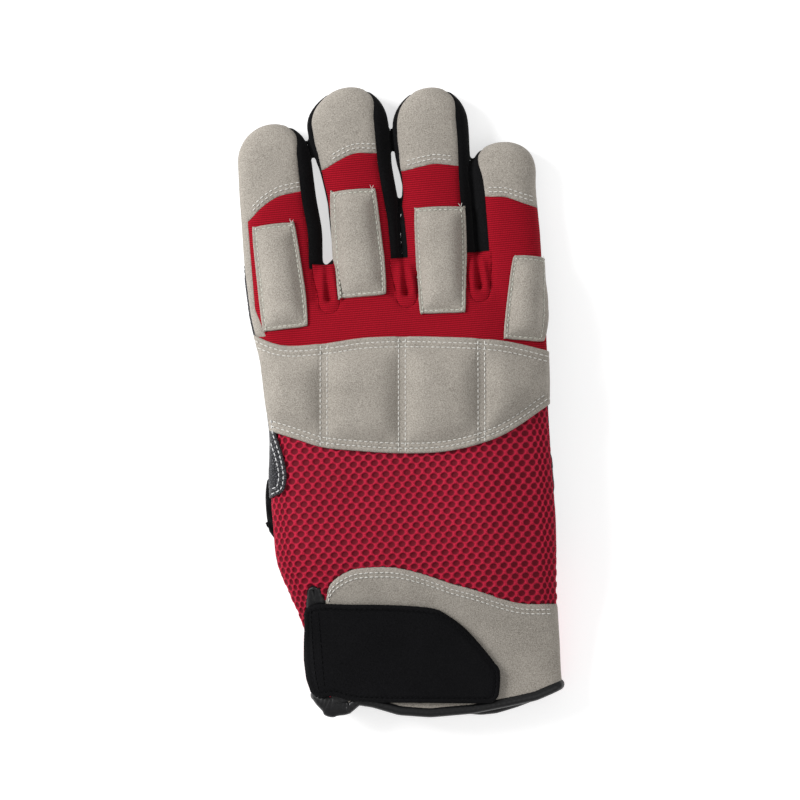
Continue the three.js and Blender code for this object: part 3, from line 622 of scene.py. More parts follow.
@dataclass(frozen=True)
class Finish:
    """A cloth, leather or thread, made of noise on Object coordinates.

    The colours are linear. grain is the size of its smallest marks in millimetres, lift the
    strength of their relief, and blotch how far the colour varies over the piece.
    """

    name: str
    dark: tuple[float, float, float]
    light: tuple[float, float, float]
    grain: float = 0.5
    lift: float = 0.4
    roughness: float = 0.9
    blotch: float = 14.0
    pebbles: float = 0.0
    ribs: float = 0.0
    columns: float = 0.0
    holes: bool = False
    specks: tuple[float, float, float] | None = None
    sheen: float = 0.0
    sheen_tint: tuple[float, float, float] = (1.0, 1.0, 1.0)
    specular: float = 0.3

    def material(self) -> bpy.types.Material:
        """The material, made once."""
        found = bpy.data.materials.get(self.name)
        return found or self.made()

    def made(self) -> bpy.types.Material:
        """Builds the material's nodes."""
        made = bpy.data.materials.new(self.name)
        made.use_nodes = True
        nodes = made.node_tree.nodes
        links = made.node_tree.links
        shader = nodes["Principled BSDF"]
        place = nodes.new("ShaderNodeTexCoord").outputs["Object"]

        def noise_at(size: float, detail: float) -> bpy.types.NodeSocket:
            node = nodes.new("ShaderNodeTexNoise")
            node.inputs["Scale"].default_value = 1 / (size * MM)
            node.inputs["Detail"].default_value = detail
            links.new(place, node.inputs["Vector"])
            return node.outputs["Fac"]

        def math_of(kind: str, *values: bpy.types.NodeSocket | float) -> bpy.types.NodeSocket:
            node = nodes.new("ShaderNodeMath")
            node.operation = kind
            for socket, value in zip(node.inputs, values):
                if isinstance(value, (int, float)):
                    socket.default_value = value
                else:
                    links.new(value, socket)
            return node.outputs[0]

        def between(share: bpy.types.NodeSocket, low: float, high: float) -> bpy.types.NodeSocket:
            node = nodes.new("ShaderNodeMapRange")
            node.inputs["From Min"].default_value = low
            node.inputs["From Max"].default_value = high
            links.new(share, node.inputs["Value"])
            return node.outputs["Result"]

        def mixed(share: bpy.types.NodeSocket, a: object, b: object) -> bpy.types.NodeSocket:
            node = nodes.new("ShaderNodeMix")
            node.data_type = "RGBA"
            links.new(share, node.inputs["Factor"])
            for name, value in (("A", a), ("B", b)):
                socket = [s for s in node.inputs if s.name == name and s.type == "RGBA"][0]
                if isinstance(value, tuple):
                    socket.default_value = (*value, 1.0)
                else:
                    links.new(value, socket)
            return [s for s in node.outputs if s.type == "RGBA"][0]

        fine = noise_at(self.grain, 3.0)
        broad = noise_at(self.blotch, 2.0)
        tone = math_of("ADD", math_of("MULTIPLY", fine, 0.86), math_of("MULTIPLY", broad, 0.14))
        height = fine
        if self.pebbles:
            cells = nodes.new("ShaderNodeTexVoronoi")
            cells.feature = "DISTANCE_TO_EDGE"
            cells.inputs["Scale"].default_value = 1 / (self.pebbles * MM)
            links.new(place, cells.inputs["Vector"])
            dome = between(cells.outputs["Distance"], 0.0, 0.22)
            height = math_of("ADD", dome, math_of("MULTIPLY", fine, 0.25))
            # The pebble domes also set the colour: painted shade darkens the creases between the pebbles.
            tone = math_of("ADD", math_of("MULTIPLY", dome, 0.55), math_of("MULTIPLY", tone, 0.45))
        split = nodes.new("ShaderNodeSeparateXYZ")
        links.new(place, split.inputs[0])
        if self.ribs:
            wobble = math_of("MULTIPLY", noise_at(6.0, 1.0), 1.2)
            turn = math_of("MULTIPLY", split.outputs["Y"], 2 * math.pi / (self.ribs * MM))
            wave = math_of("SINE", math_of("ADD", turn, wobble))
            rib = between(wave, -1.0, 1.0)
            if self.columns:
                across = math_of("MULTIPLY", split.outputs["X"], 2 * math.pi / (self.columns * MM))
                loop = between(math_of("SINE", across), -1.0, 1.0)
                rib = math_of("MULTIPLY", rib, math_of("ADD", math_of("MULTIPLY", loop, 0.35), 0.65))
            height = math_of("ADD", rib, math_of("MULTIPLY", fine, 0.3))
            # The ribs also set the colour: painted shade darkens the grooves between the ribs and loops.
            tone = math_of("ADD", math_of("MULTIPLY", rib, 0.6), math_of("MULTIPLY", tone, 0.4))
        colour = mixed(between(tone, 0.32, 0.68), self.dark, self.light)
        if self.holes:
            hole = nodes.new("ShaderNodeAttribute")
            hole.attribute_name = "hole"
            # The holes' colour is darker: the deeper red layer beneath, with painted shade inside them.
            hole_backing_and_shade = (0.42 * self.dark[0], 0.5 * self.dark[1], 0.5 * self.dark[2])
            colour = mixed(between(hole.outputs["Fac"], 0.08, 0.7), colour, hole_backing_and_shade)
        if self.specks:
            speck = between(noise_at(1.1, 1.0), 0.735, 0.76)
            colour = mixed(speck, colour, self.specks)
        links.new(colour, shader.inputs["Base Color"])
        shader.inputs["Roughness"].default_value = self.roughness
        shader.inputs["Specular IOR Level"].default_value = self.specular
        shader.inputs["Sheen Weight"].default_value = self.sheen
        shader.inputs["Sheen Tint"].default_value = (*self.sheen_tint, 1.0)
        bump = nodes.new("ShaderNodeBump")
        bump.inputs["Strength"].default_value = self.lift
        bump.inputs["Distance"].default_value = 0.4 * MM
        links.new(height, bump.inputs["Height"])
        links.new(bump.outputs["Normal"], shader.inputs["Normal"])
        return made


GREY_SUEDE = Finish(
    "grey suede", (0.225, 0.204, 0.176), (0.49, 0.45, 0.398), grain=0.42, lift=0.5, blotch=11.0,
    roughness=0.95, sheen=0.06, specular=0.12)
RED_KNIT = Finish(
    "red knit", (0.20, 0.002, 0.008), (0.43, 0.006, 0.02), grain=0.5, lift=0.4, ribs=0.86,
    columns=0.7, roughness=0.9, specular=0.12)
RED_MESH = Finish(
    "red mesh", (0.36, 0.005, 0.024), (0.63, 0.015, 0.06), grain=0.4, lift=0.3, holes=True,
    roughness=0.75, specular=0.22)
PINK_MESH = Finish(
    "pink red mesh", (0.45, 0.012, 0.05), (0.74, 0.03, 0.1), grain=0.4, lift=0.3, holes=True,
    roughness=0.75, specular=0.22)
BLACK_FLEECE = Finish(
    "black fleece", (0.003, 0.003, 0.0033), (0.009, 0.009, 0.0098), grain=0.45, lift=0.6,
    roughness=1.0, sheen=0.03, specular=0.06)
BLACK_SUEDE = Finish(
    "black suede", (0.006, 0.006, 0.006), (0.019, 0.0185, 0.0185), grain=0.5, lift=0.5,
    roughness=0.95, specks=(0.09, 0.09, 0.09), specular=0.12)
GRAINED_LEATHER = Finish(
    "grained leather", (0.009, 0.009, 0.0105), (0.046, 0.046, 0.054), grain=0.3, lift=0.8,
    roughness=0.45, pebbles=1.1, specular=0.45)
STRAP_LOOP = Finish(
    "strap loop cloth", (0.0022, 0.0022, 0.0026), (0.0085, 0.0085, 0.0095), grain=0.4, lift=0.6,
    roughness=0.95, specular=0.1)
BINDING = Finish(
    "glossy binding", (0.002, 0.002, 0.0025), (0.008, 0.008, 0.009), grain=0.8, lift=0.12,
    roughness=0.36, specular=0.4)
LIGHT_THREAD = Finish(
    "off-white thread", (0.60, 0.585, 0.545), (0.84, 0.83, 0.79), grain=0.2, lift=0.3, roughness=0.7)
WHITE_THREAD = Finish(
    "white thread", (0.62, 0.62, 0.62), (0.82, 0.82, 0.82), grain=0.2, lift=0.3, roughness=0.6)
DARK_THREAD = Finish(
    "dark thread", (0.002, 0.002, 0.0025), (0.007, 0.007, 0.008), grain=0.2, lift=0.3,
    roughness=0.8, specular=0.1)
GREEN_GREY_THREAD = Finish(
    "green grey thread", (0.46, 0.47, 0.40), (0.74, 0.74, 0.67), grain=0.7, lift=0.3,
    roughness=0.7)


@dataclass
class Stitching:
    """Rows of sewn stitches, which lie half sunk in what they are sewn through."""

    length: float = STITCH_LENGTH
    pitch: float = STITCH_PITCH
    thickness: float = STITCH_THICKNESS
    sides: int = 6
    proud: float = 0.17

    def row(self, bm: bmesh.types.BMesh, line: list, surface: BVHTree, side: Side) -> None:
        """Adds one row of stitches.

        Args:
            bm: the mesh that gets them.
            line: the row's line in plan.
            surface: what it is sewn on.
            side: the face of the glove that it is on.
        """
        spots = self.along(line)
        for start, end in spots:
            a = self.on_surface(start, surface, side)
            b = self.on_surface(end, surface, side)
            if a is not None and b is not None and (b - a).length < 3 * self.length:
                self.stitch(bm, a, b)

    def along(self, line: list) -> list[tuple[tuple[float, float], tuple[float, float]]]:
        """The ends of the stitches along a line."""
        points = np.array(line)
        steps = np.linalg.norm(np.diff(points, axis=0), axis=1)
        reach = np.concatenate([[0], np.cumsum(steps)])
        count = max(1, int(reach[-1] / self.pitch))
        starts = (np.arange(count) + 0.5) * reach[-1] / count - self.length / 2
        spots = []
        for start in starts:
            pair = [
                (float(np.interp(at, reach, points[:, 0])), float(np.interp(at, reach, points[:, 1])))
                for at in (start, start + self.length)]
            spots.append((pair[0], pair[1]))
        return spots

    def on_surface(self, spot: tuple[float, float], surface: BVHTree, side: Side) -> Vector | None:
        """The place over a spot in plan, just proud of the surface, or None beside it."""
        hit = surface.ray_cast(Vector((*spot, side.value * FAR)), Vector((0, 0, -side.value)))
        if hit[0] is None:
            return None
        return hit[0] + hit[1].normalized() * self.proud

    def stitch(self, bm: bmesh.types.BMesh, a: Vector, b: Vector) -> None:
        """Adds one stitch as a slim bead from a to b."""
        way = b - a
        turn = way.to_track_quat("X", "Z").to_matrix().to_4x4()
        shape = Matrix.Diagonal((way.length / 2, self.thickness / 2, self.thickness / 2, 1.0))
        bmesh.ops.create_uvsphere(
            bm, u_segments=4, v_segments=self.sides, radius=1.0,
            matrix=Matrix.Translation((a + b) / 2) @ turn @ shape
            @ Matrix.Rotation(math.pi / 2, 4, "Y"))


def band_seam() -> list[tuple[float, float]]:
    """The seam under the knuckle band, between the knit and the mesh."""
    return [(-FAR, 0.813 * PALM_LENGTH), *plan([
        (-0.46, 0.813), (-0.28, 0.778), (-0.15, 0.772), (-0.015, 0.765), (0.125, 0.758),
        (0.255, 0.759), (0.365, 0.766), (0.474, 0.778)]), (FAR, 0.778 * PALM_LENGTH)]


WRIST_SEAM = plan([
    (-0.327, 0.29), (-0.31, 0.325), (-0.27, 0.346), (-0.223, 0.358), (-0.156, 0.359), (-0.078, 0.353),
    (0.009, 0.333), (0.098, 0.306), (0.188, 0.283), (0.291, 0.253), (0.385, 0.239), (0.6, 0.234)])
BACK_HEM = plan([
    (-0.6, 0.12), (-0.43, 0.07), (-0.389, 0.046), (-0.339, 0.008), (-0.29, 0.012), (-0.247, 0.034),
    (-0.193, 0.025), (-0.107, 0.002), (-0.002, -0.009), (0.142, -0.008), (0.263, 0.002), (0.36, 0.011),
    (0.46, 0.034), (0.6, 0.07)])
PALM_HEM = plan([
    (-0.6, 0.12), (-0.43, 0.07), (-0.389, 0.046), (-0.321, 0.039), (-0.188, 0.053), (-0.113, 0.054),
    (-0.032, 0.038), (0.052, 0.008), (0.114, -0.008), (0.17, -0.015), (0.222, -0.014), (0.288, -0.004),
    (0.357, 0.01), (0.46, 0.034), (0.6, 0.07)])
PALM_CUFF_SEAM = plan([
    (-0.7, 0.318), (-0.47, 0.325), (-0.193, 0.337), (-0.08, 0.34), (0.071, 0.348), (0.26, 0.353),
    (0.7, 0.346)])
CUFF_MIDDLE_SEAM = plan([
    (-0.178, 0.4), (-0.178, 0.306), (-0.174, 0.26), (-0.141, 0.198), (-0.117, 0.144), (-0.106, 0.095),
    (-0.1, -0.1)])
SLIT_LINE = plan([(-0.366, 0.322), (-0.36, 0.26), (-0.32, 0.14), (-0.268, -0.1)])


@dataclass
class Skin:
    """The cloth of the hand and fingers, fused into one surface and cut at its seams."""

    grain: float = CLOTH_GRAIN
    smoothing: int = 3
    ripple: float = 0.3
    ripple_size: float = 17.0
    lobe_half: float = 2.65
    lobe_top: float = 9.3
    mesh: bmesh.types.BMesh | None = None

    def build(self) -> None:
        """Fuses the hand and the fingers, and lays them on the floor."""
        first = HAND_SECTIONS[0, 0] * PALM_LENGTH
        parts = [tube(110, 120, lambda around, along: hand_surface(
            around, first + (PALM_LENGTH - first) * along))]
        for finger in FINGERS:
            parts.append(tube(100, 72, lambda around, along, finger=finger: finger_surface(
                finger, around, along)))
        for index in range(3):
            for side in (-1, 1):
                parts.append(self.lobe(index, side))
        self.mesh = remeshed(parts, self.grain, self.smoothing)
        self.mesh.normal_update()
        for vertex in self.mesh.verts:
            spot = vertex.co / self.ripple_size
            vertex.co += vertex.normal * self.ripple * noise.noise(spot)
        press_on_floor(self.mesh)

    def lobe(self, index: int, side: int) -> bmesh.types.BMesh:
        """One of the two folds that a gusset makes between its fingers."""
        finger = FINGERS[index]
        middle = finger.x + finger.half + finger.half_gap + side * self.lobe_half * 0.92
        foot = PALM_LENGTH - (1 - GUSSET_HEAD) * GUSSET_LENGTH - 1.0
        head = PALM_LENGTH + GUSSET_HEAD * GUSSET_LENGTH + 1.0

        def place(around: np.ndarray, along: np.ndarray) -> np.ndarray:
            wide, high = oval(2 * math.pi * around, 2.0)
            y = foot + (head - foot) * along
            taper = (1 - np.abs(2 * along - 1) ** 3).clip(0) ** 0.5
            lean = side * (0.55 - along) * 1.5
            x = middle + lean + wide * self.lobe_half * taper
            rise = self.lobe_top - 1.6 * along
            z = middle_height(x, y) + high * rise * taper
            return np.column_stack([x, y, z])

        return tube(40, 24, place)

    def near(self, outline: list, margin: float = 2.0) -> bmesh.types.BMesh:
        """A copy of the skin round an outline."""
        points = np.array(outline)
        low = points.min(0) - margin
        high = points.max(0) + margin
        part = self.mesh.copy()
        keep_faces(part, lambda p: ((p[:, :2] > low) & (p[:, :2] < high)).all(1))
        return part


def side_wall_outline(index: int, side: int, cover: float, kept: float) -> list:
    """The plan strip that a black side wall covers, which runs out to a point by the tip."""
    finger = FINGERS[index]
    gap = finger.half_gap if side > 0 else FINGERS[index - 1].half_gap
    foot = finger.tip - GUSSET_HEAD * GUSSET_LENGTH + 2
    from_tip = np.concatenate([np.linspace(0.12, 1.0, 9) * FINGERTIP_ROUND, np.linspace(20, foot, 10)])
    taper = np.sqrt(1 - (1 - from_tip / FINGERTIP_ROUND).clip(0) ** 2)
    edge = finger.half * taper + edge_swell(finger.name, side, from_tip) * np.sqrt(taper)
    width = cover * 2 * finger.half * smooth_share(from_tip, 0.5, 0.95 * FINGERTIP_ROUND)
    width *= 1 - (1 - kept) * smooth_share(from_tip, 0.9 * BACK_CAP_LENGTH, 1.3 * BACK_CAP_LENGTH)
    outer = np.maximum(edge + 0.9, np.where(from_tip > FINGERTIP_ROUND, finger.half + gap, 0.0))
    inner_line = [(e - w, finger.tip - d) for e, w, d in zip(edge, width, from_tip)]
    outer_line = [(o, finger.tip - d) for o, d in zip(outer, from_tip)]
    return [finger.point(side * u, v) for u, v in [*inner_line, *reversed(outer_line)]]


def gusset_outline(index: int) -> list:
    """The plan outline of the gusset between a finger and the next."""
    finger = FINGERS[index]
    middle = finger.x + finger.half + finger.half_gap
    half = GUSSET_WIDTH / 2
    foot = PALM_LENGTH - (1 - GUSSET_HEAD) * GUSSET_LENGTH
    head = PALM_LENGTH + GUSSET_HEAD * GUSSET_LENGTH
    tall = head - foot
    right = [(1.0, 1.0), (0.98, 0.75), (0.86, 0.42), (0.78, 0.2), (0.6, 0.07), (0.3, 0.01)]
    left = [(-across, up) for across, up in reversed(right)]
    return [(middle + across * half, foot + up * tall) for across, up in [*right, (0.0, 0.0), *left]]


def cap_seam(finger: Finger) -> list:
    """The seam of a fingertip cap on the glove's back, from the thumb side."""
    length = BACK_CAP_LENGTH * finger.back_cap
    shares = [
        (-1.05, finger.cap_thumb_side), (-0.9, finger.cap_thumb_side),
        (-0.45, 0.4 * (finger.cap_thumb_side + finger.cap_middle)), (0, finger.cap_middle),
        (0.5, 0.5 * (finger.cap_middle + finger.cap_far_side)), (1.05, finger.cap_far_side)]
    return rounded([
        finger.point(u * finger.half, finger.tip - length * (1 + share)) for u, share in shares],
        5, closed=False)


def back_cap_outline(finger: Finger) -> list:
    """Everything in plan beyond a fingertip cap's seam on the glove's back."""
    beyond = finger.tip + 20.0
    outer = finger.half + finger.half_gap
    return [*cap_seam(finger), finger.point(outer, beyond), finger.point(-1.3 * finger.half, beyond)]


def index_edge_outline() -> list:
    """The strip down the index finger's outer edge, which joins its cap to the band."""
    finger = FINGERS[0]
    length = BACK_CAP_LENGTH * finger.back_cap
    return [
        finger.point(-1.3 * finger.half, finger.tip - length),
        finger.point(-0.9 * finger.half, finger.tip - length - 3),
        finger.point(-0.95 * finger.half, 0.0),
        *plan([(-0.462, 0.93), (-0.56, 0.93)])]


def finger_end_outline(finger: Finger, length: float) -> list:
    """A box in plan round one finger's end."""
    return [finger.point(u, v) for u, v in (
        (-finger.half - 0.8, finger.tip - length), (finger.half + 0.8, finger.tip - length),
        (finger.half + 0.8, finger.tip + 20), (-finger.half - 0.8, finger.tip + 20))]


SIDE_WALLS = [
    ("index_inner_side", 0, 1, 0.19, 1.0), ("middle_index_side", 1, -1, 0.055, 0.1),
    ("middle_ring_side", 1, 1, 0.19, 1.0), ("ring_middle_side", 2, -1, 0.05, 0.1),
    ("ring_little_side", 2, 1, 0.17, 1.0), ("little_ring_side", 3, -1, 0.17, 1.0)]


def over_middle(points: np.ndarray) -> np.ndarray:
    """How far points lie above the seam line between back and palm."""
    return points[:, 2] - middle_height(points[:, 0], points[:, 1])


@dataclass
class Cloth:
    """The sewn cloth of the glove, one piece for each zone of the skin."""

    skin: Skin
    dip: float = 0.42
    dip_width: float = 1.0
    hole_pitch: float = 4.2
    row_pitch: float = 2.36
    hole_wide: float = 1.78
    hole_tall: float = 1.5
    hole_depth: float = 0.65
    slit_half: float = 0.4

    def lines(self) -> list[Callable[[np.ndarray], np.ndarray]]:
        """Every seam as a value that passes through zero there."""
        outlines = [side_wall_outline(*row[1:]) for row in SIDE_WALLS]
        outlines += [gusset_outline(index) for index in range(3)]
        outlines += [back_cap_outline(finger) for finger in FINGERS]
        outlines += [index_edge_outline()]
        outlines += [
            finger_end_outline(finger, PALM_CAP_LENGTH * finger.palm_cap) for finger in FINGERS]
        outlines += [
            above(band_seam()), above(BACK_HEM, BINDING_HEIGHT / 2), above(PALM_HEM, BINDING_HEIGHT / 2),
            self.panel_outline(), above(PALM_CUFF_SEAM), self.thumb_side_outline(), self.slit_outline()]
        found = [over_middle, lambda p: over_middle(p) + SIDE_DROP]
        for outline in outlines:
            found.append(lambda p, outline=outline: outline_distance(p, outline))
        return found

    def panel_outline(self) -> list:
        """The suede panel on the back of the cuff."""
        return [
            *rounded(WRIST_SEAM, 3, closed=False), *plan([(0.6, -0.2)]), SLIT_LINE[3], SLIT_LINE[2],
            SLIT_LINE[1]]

    def thumb_side_outline(self) -> list:
        """The thumb side of the cuff's palm."""
        return [*CUFF_MIDDLE_SEAM, *plan([(-0.8, -0.1), (-0.8, 0.4)])]

    def slit_outline(self) -> list:
        """The opening of the slit on the thumb side of the cuff."""
        right = inset(SLIT_LINE, -self.slit_half, closed=False)
        left = inset(SLIT_LINE, self.slit_half, closed=False)
        return [*right, *reversed(left)]

    def owners(self, middles: np.ndarray) -> np.ndarray:
        """The name of the piece that each face of the skin belongs to, or nothing.

        Args:
            middles: the middles of the faces, a row each.

        Returns:
            the names.
        """
        def within(outline: list) -> np.ndarray:
            return outline_distance(middles, outline) < 0

        height = over_middle(middles)
        upper = height > 0
        back = np.where(within(above(band_seam())), "back_knit", "back_mesh").astype("U24")
        back[within(self.panel_outline()) & (back == "back_mesh")] = "wrist_panel"
        back[~within(above(BACK_HEM, BINDING_HEIGHT / 2)) | within(self.slit_outline())] = ""
        for finger in FINGERS:
            back[within(back_cap_outline(finger))] = f"{finger.name}_back_cap"
        back[within(index_edge_outline())] = "index_back_cap"
        palm = np.where(within(above(PALM_CUFF_SEAM)), "palm", "little_side_cuff").astype("U24")
        palm[within(self.thumb_side_outline()) & (palm != "palm")] = "thumb_side_cuff"
        palm[~within(above(PALM_HEM, BINDING_HEIGHT / 2))] = ""
        for finger in FINGERS:
            length = PALM_CAP_LENGTH * finger.palm_cap
            palm[within(finger_end_outline(finger, length))] = f"{finger.name}_palm_cap"
        names = np.where(upper, back, palm).astype("U24")
        for name, *wall in SIDE_WALLS:
            names[within(side_wall_outline(*wall)) & (height > -SIDE_DROP)] = name
        for index in range(3):
            name = f"{FINGERS[index].name}_{FINGERS[index + 1].name}_gusset"
            names[within(gusset_outline(index))] = name
        return names

    def build(self) -> None:
        """Cuts the skin at its seams and makes the pieces."""
        cut = self.skin.mesh.copy()
        for line in self.lines():
            cut_along(cut, line)
        middles = np.array([f.calc_center_median()[:] for f in cut.faces])
        names = self.owners(middles)
        for name, (finish, slot) in self.finishes().items():
            piece = cut.copy()
            unwanted = [face for face, owner in zip(piece.faces, names) if owner != name]
            bmesh.ops.delete(piece, geom=unwanted, context="FACES")
            drop_crumbs(piece, 40)
            self.sew(piece, name, finish, slot)
        cut.free()

    def finishes(self) -> dict[str, tuple[Finish, str]]:
        """The finish and the material slot of each piece."""
        found = {}
        for finger in FINGERS:
            found[f"{finger.name}_back_cap"] = (GREY_SUEDE, "grey_suede")
            found[f"{finger.name}_palm_cap"] = (GRAINED_LEATHER, "grained_leather")
        for name, *_ in SIDE_WALLS:
            found[name] = (BLACK_FLEECE, "black_fleece")
        for index in range(3):
            name = f"{FINGERS[index].name}_{FINGERS[index + 1].name}_gusset"
            found[name] = (RED_KNIT, "red_knit")
        found["back_knit"] = (RED_KNIT, "red_knit")
        found["back_mesh"] = (RED_MESH, "red_mesh")
        found["wrist_panel"] = (GREY_SUEDE, "grey_suede")
        found["palm"] = (BLACK_SUEDE, "black_suede")
        found["thumb_side_cuff"] = (PINK_MESH, "red_mesh")
        found["little_side_cuff"] = (PINK_MESH, "red_mesh")
        return found

    def sew(self, bm: bmesh.types.BMesh, name: str, finish: Finish, slot: str) -> None:
        """Sinks the seams of a piece, gives it its wall and its relief, and finishes it."""
        bm.normal_update()
        normals = [v.normal.copy() for v in bm.verts]
        distance = edge_distance(bm)
        sink = self.dip * np.exp(-(distance / self.dip_width) ** 2)
        for vertex, normal, depth in zip(bm.verts, normals, sink):
            vertex.co -= normal * float(depth)
        inner = bm.copy()
        for vertex, normal in zip(inner.verts, normals):
            vertex.co -= normal * WALL
        if finish.holes:
            self.pierce(bm)
        press_on_floor(bm)
        line_inside(bm, inner)
        finished(bm, name, finish, slot, name)

    def pierce(self, bm: bmesh.types.BMesh) -> None:
        """Presses the staggered holes of air mesh into a piece and marks them; the mark gives them their
        painted shade.
        """
        bmesh.ops.triangulate(bm, faces=[f for f in bm.faces if len(f.verts) > 4])
        inner_edges = [edge for edge in bm.edges if not edge.is_boundary]
        bmesh.ops.subdivide_edges(bm, edges=inner_edges, cuts=1, use_grid_fill=True)
        places = places_of(bm)
        centre, half = hand_edges(places[:, 1])
        top = middle_height(places[:, 0], places[:, 1]) + HAND_THICKNESS / 2
        side = np.where(places[:, 2] > top - HAND_THICKNESS / 2, 1, -1)
        fall = np.abs(top - HAND_THICKNESS / 2 + side * HAND_THICKNESS / 2 - places[:, 2])
        edge = smooth_share(np.abs(places[:, 0] - centre) / half, 0.86, 0.97)
        across = places[:, 0] + np.sign(places[:, 0] - centre) * fall * edge
        row = np.floor(places[:, 1] / self.row_pitch)
        nearest = np.full(len(places), np.inf)
        for step in (0, 1):
            level = row + step
            shift = np.where(level % 2 == 0, 0.0, self.hole_pitch / 2)
            dx = (across - shift + self.hole_pitch / 2) % self.hole_pitch - self.hole_pitch / 2
            dy = places[:, 1] - level * self.row_pitch
            reach = np.hypot(dx / self.hole_wide, dy / self.hole_tall)
            nearest = np.minimum(nearest, reach)
        hole = 1 - smooth_share(nearest, 0.5, 1.05)
        offset(bm, -self.hole_depth * hole)
        layer = bm.verts.layers.float.new("hole")
        for vertex, value in zip(bm.verts, hole):
            vertex[layer] = float(value)


@dataclass
class Cover:
    """A piece laid on the skin within an outline, with its own thickness at each place.

    over is how far past the seam line between back and palm it may go.
    """

    skin: Skin
    name: str
    outline: list
    side: Side
    finish: Finish
    slot: str
    base: float = 0.3
    fineness: int = 1
    over: float = 0.0

    def build(self, thickness: Callable[[np.ndarray, np.ndarray], np.ndarray]) -> BVHTree:
        """Makes the piece.

        Args:
            thickness: gives the thickness from the places and their depths inside the outline.

        Returns:
            its surface, in millimetres, to sew on.
        """
        bm = self.skin.near(self.outline)
        keep_faces(bm, lambda p: over_middle(p) * self.side.value > -self.over)
        cut_along(bm, lambda p: outline_distance(p, self.outline))
        cut_along(bm, lambda p: over_middle(p) + self.side.value * self.over)
        keep_faces(bm, lambda p: (outline_distance(p, self.outline) < 0)
                   & (over_middle(p) * self.side.value > -self.over))
        for _ in range(self.fineness):
            bmesh.ops.subdivide_edges(bm, edges=bm.edges, cuts=1, use_grid_fill=True, smooth=0.0)
        for _ in range(2):
            inner_verts = [v for v in bm.verts if not v.is_boundary]
            bmesh.ops.smooth_vert(
                bm, verts=inner_verts, factor=0.5, use_axis_x=True, use_axis_y=True, use_axis_z=True)
        bm.normal_update()
        normals = [v.normal.copy() for v in bm.verts]
        under = bm.copy()
        for vertex, normal in zip(under.verts, normals):
            vertex.co += normal * self.base
        places = places_of(bm)
        depth = -outline_distance(places, self.outline)
        lift = self.base + thickness(places, depth)
        for vertex, normal, rise in zip(bm.verts, normals, lift):
            vertex.co += normal * float(rise)
        press_on_floor(bm)
        surface = BVHTree.FromBMesh(bm)
        line_inside(bm, under)
        nodes = [self.name] if self.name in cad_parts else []
        self.piece = finished(bm, self.name, self.finish, self.slot, *nodes)
        return surface


@dataclass
class Guards:
    """The four puffed suede guards on the finger backs."""

    skin: Skin
    lip: float = 1.15
    rise: float = 2.7
    seam: float = 1.3
    swell: float = 3.0
    # finger, foot past the crotch line, shift, length, foot width, head width, turn
    rows: tuple = (
        (0, -0.11, -0.08, 0.98, 0.97, 0.91, -1.0), (1, 0.012, -0.08, 1.0, 1.05, 0.96, 0.5),
        (2, -0.095, -0.05, 0.99, 0.99, 1.07, 2.5), (3, -0.25, 0.1, 0.78, 0.88, 0.74, 9.0))

    def outline(self, row: tuple) -> list:
        """A guard's outline with its soft corners."""
        index, start, shift, long, foot, head, turn = row
        finger = FINGERS[index]
        angle = math.radians(turn)
        foot *= PAD_WIDTH / 2
        head *= PAD_WIDTH / 2
        long *= PAD_LENGTH
        corner = 1.6
        shape = [
            (-foot + corner, 0.1), (0, 0), (foot - corner, 0.1), (foot, corner), (foot + 0.4, long * 0.3),
            ((foot + head) / 2 + 0.5, long / 2), (head, long - corner), (head - corner, long),
            (0, long + 0.4), (-head + corner, long), (-head, long - corner),
            (-(foot + head) / 2 - 0.3, long / 2), (-foot, corner)]
        return turned_left(rounded([finger.point(
            shift * 2 * finger.half + u * math.cos(angle) + v * math.sin(angle),
            start * FINGER_LENGTH - u * math.sin(angle) + v * math.cos(angle)) for u, v in shape], 4))

    def thickness(self, places: np.ndarray, depth: np.ndarray, row: tuple) -> np.ndarray:
        """A guard's thickness: a thin edge, a pinched seam and a smooth dome inside it."""
        corners = self.corners(row)
        dome = np.ones(len(places))
        for a, b in zip(corners, [*corners[1:], corners[0]]):
            away = np.abs(outline_distance(places, [a, b, a]))
            dome *= dome_share(away - self.seam, self.swell)
        edge = soft_edge(depth, self.lip)
        pinch = 0.5 * np.exp(-((depth - self.seam) / 0.65) ** 2)
        sag = 0.25 * dome * np.sin(places[:, 1] / 5.3 + row[0])
        return edge - pinch + self.rise * dome + sag

    def corners(self, row: tuple) -> list:
        """The four corners of a guard."""
        index, start, shift, long, foot, head, turn = row
        finger = FINGERS[index]
        angle = math.radians(turn)
        shape = [
            (-foot * PAD_WIDTH / 2, 0), (foot * PAD_WIDTH / 2, 0),
            (head * PAD_WIDTH / 2, long * PAD_LENGTH), (-head * PAD_WIDTH / 2, long * PAD_LENGTH)]
        return [finger.point(
            shift * 2 * finger.half + u * math.cos(angle) + v * math.sin(angle),
            start * FINGER_LENGTH - u * math.sin(angle) + v * math.cos(angle)) for u, v in shape]

    def build(self) -> None:
        """Makes the guards, their stitches and the ends of their threads."""
        stitching = Stitching()
        light = bmesh.new()
        ends = bmesh.new()
        for row in self.rows:
            name = f"{FINGERS[row[0]].name}_pad"
            outline = self.outline(row)
            cover = Cover(self.skin, name, outline, Side.BACK, GREY_SUEDE, "grey_suede")
            surface = cover.build(lambda p, depth, row=row: self.thickness(p, depth, row))
            line = inset(outline, self.seam)
            stitching.row(light, [*line, line[0]], surface, Side.BACK)
            self.thread_ends(ends, line, surface, row[0])
        finished(light, "guard_stitches", GREEN_GREY_THREAD, "thread")
        finished(ends, "guard_thread_ends", LIGHT_THREAD, "thread")

    def thread_ends(self, bm: bmesh.types.BMesh, line: list, surface: BVHTree, index: int) -> None:
        """Adds the short loose ends of thread at a guard's far top corner."""
        corner = max(line, key=lambda p: p[0] * 0.6 + p[1])
        stitching = Stitching(length=2.6, thickness=0.22)
        for turn in (48, 96):
            angle = math.radians(turn + 12 * index)
            a = stitching.on_surface(corner, surface, Side.BACK)
            if a is None:
                continue
            b = a + Vector((1.9 * math.cos(angle), 1.9 * math.sin(angle), 0.7))
            stitching.stitch(bm, a, b)


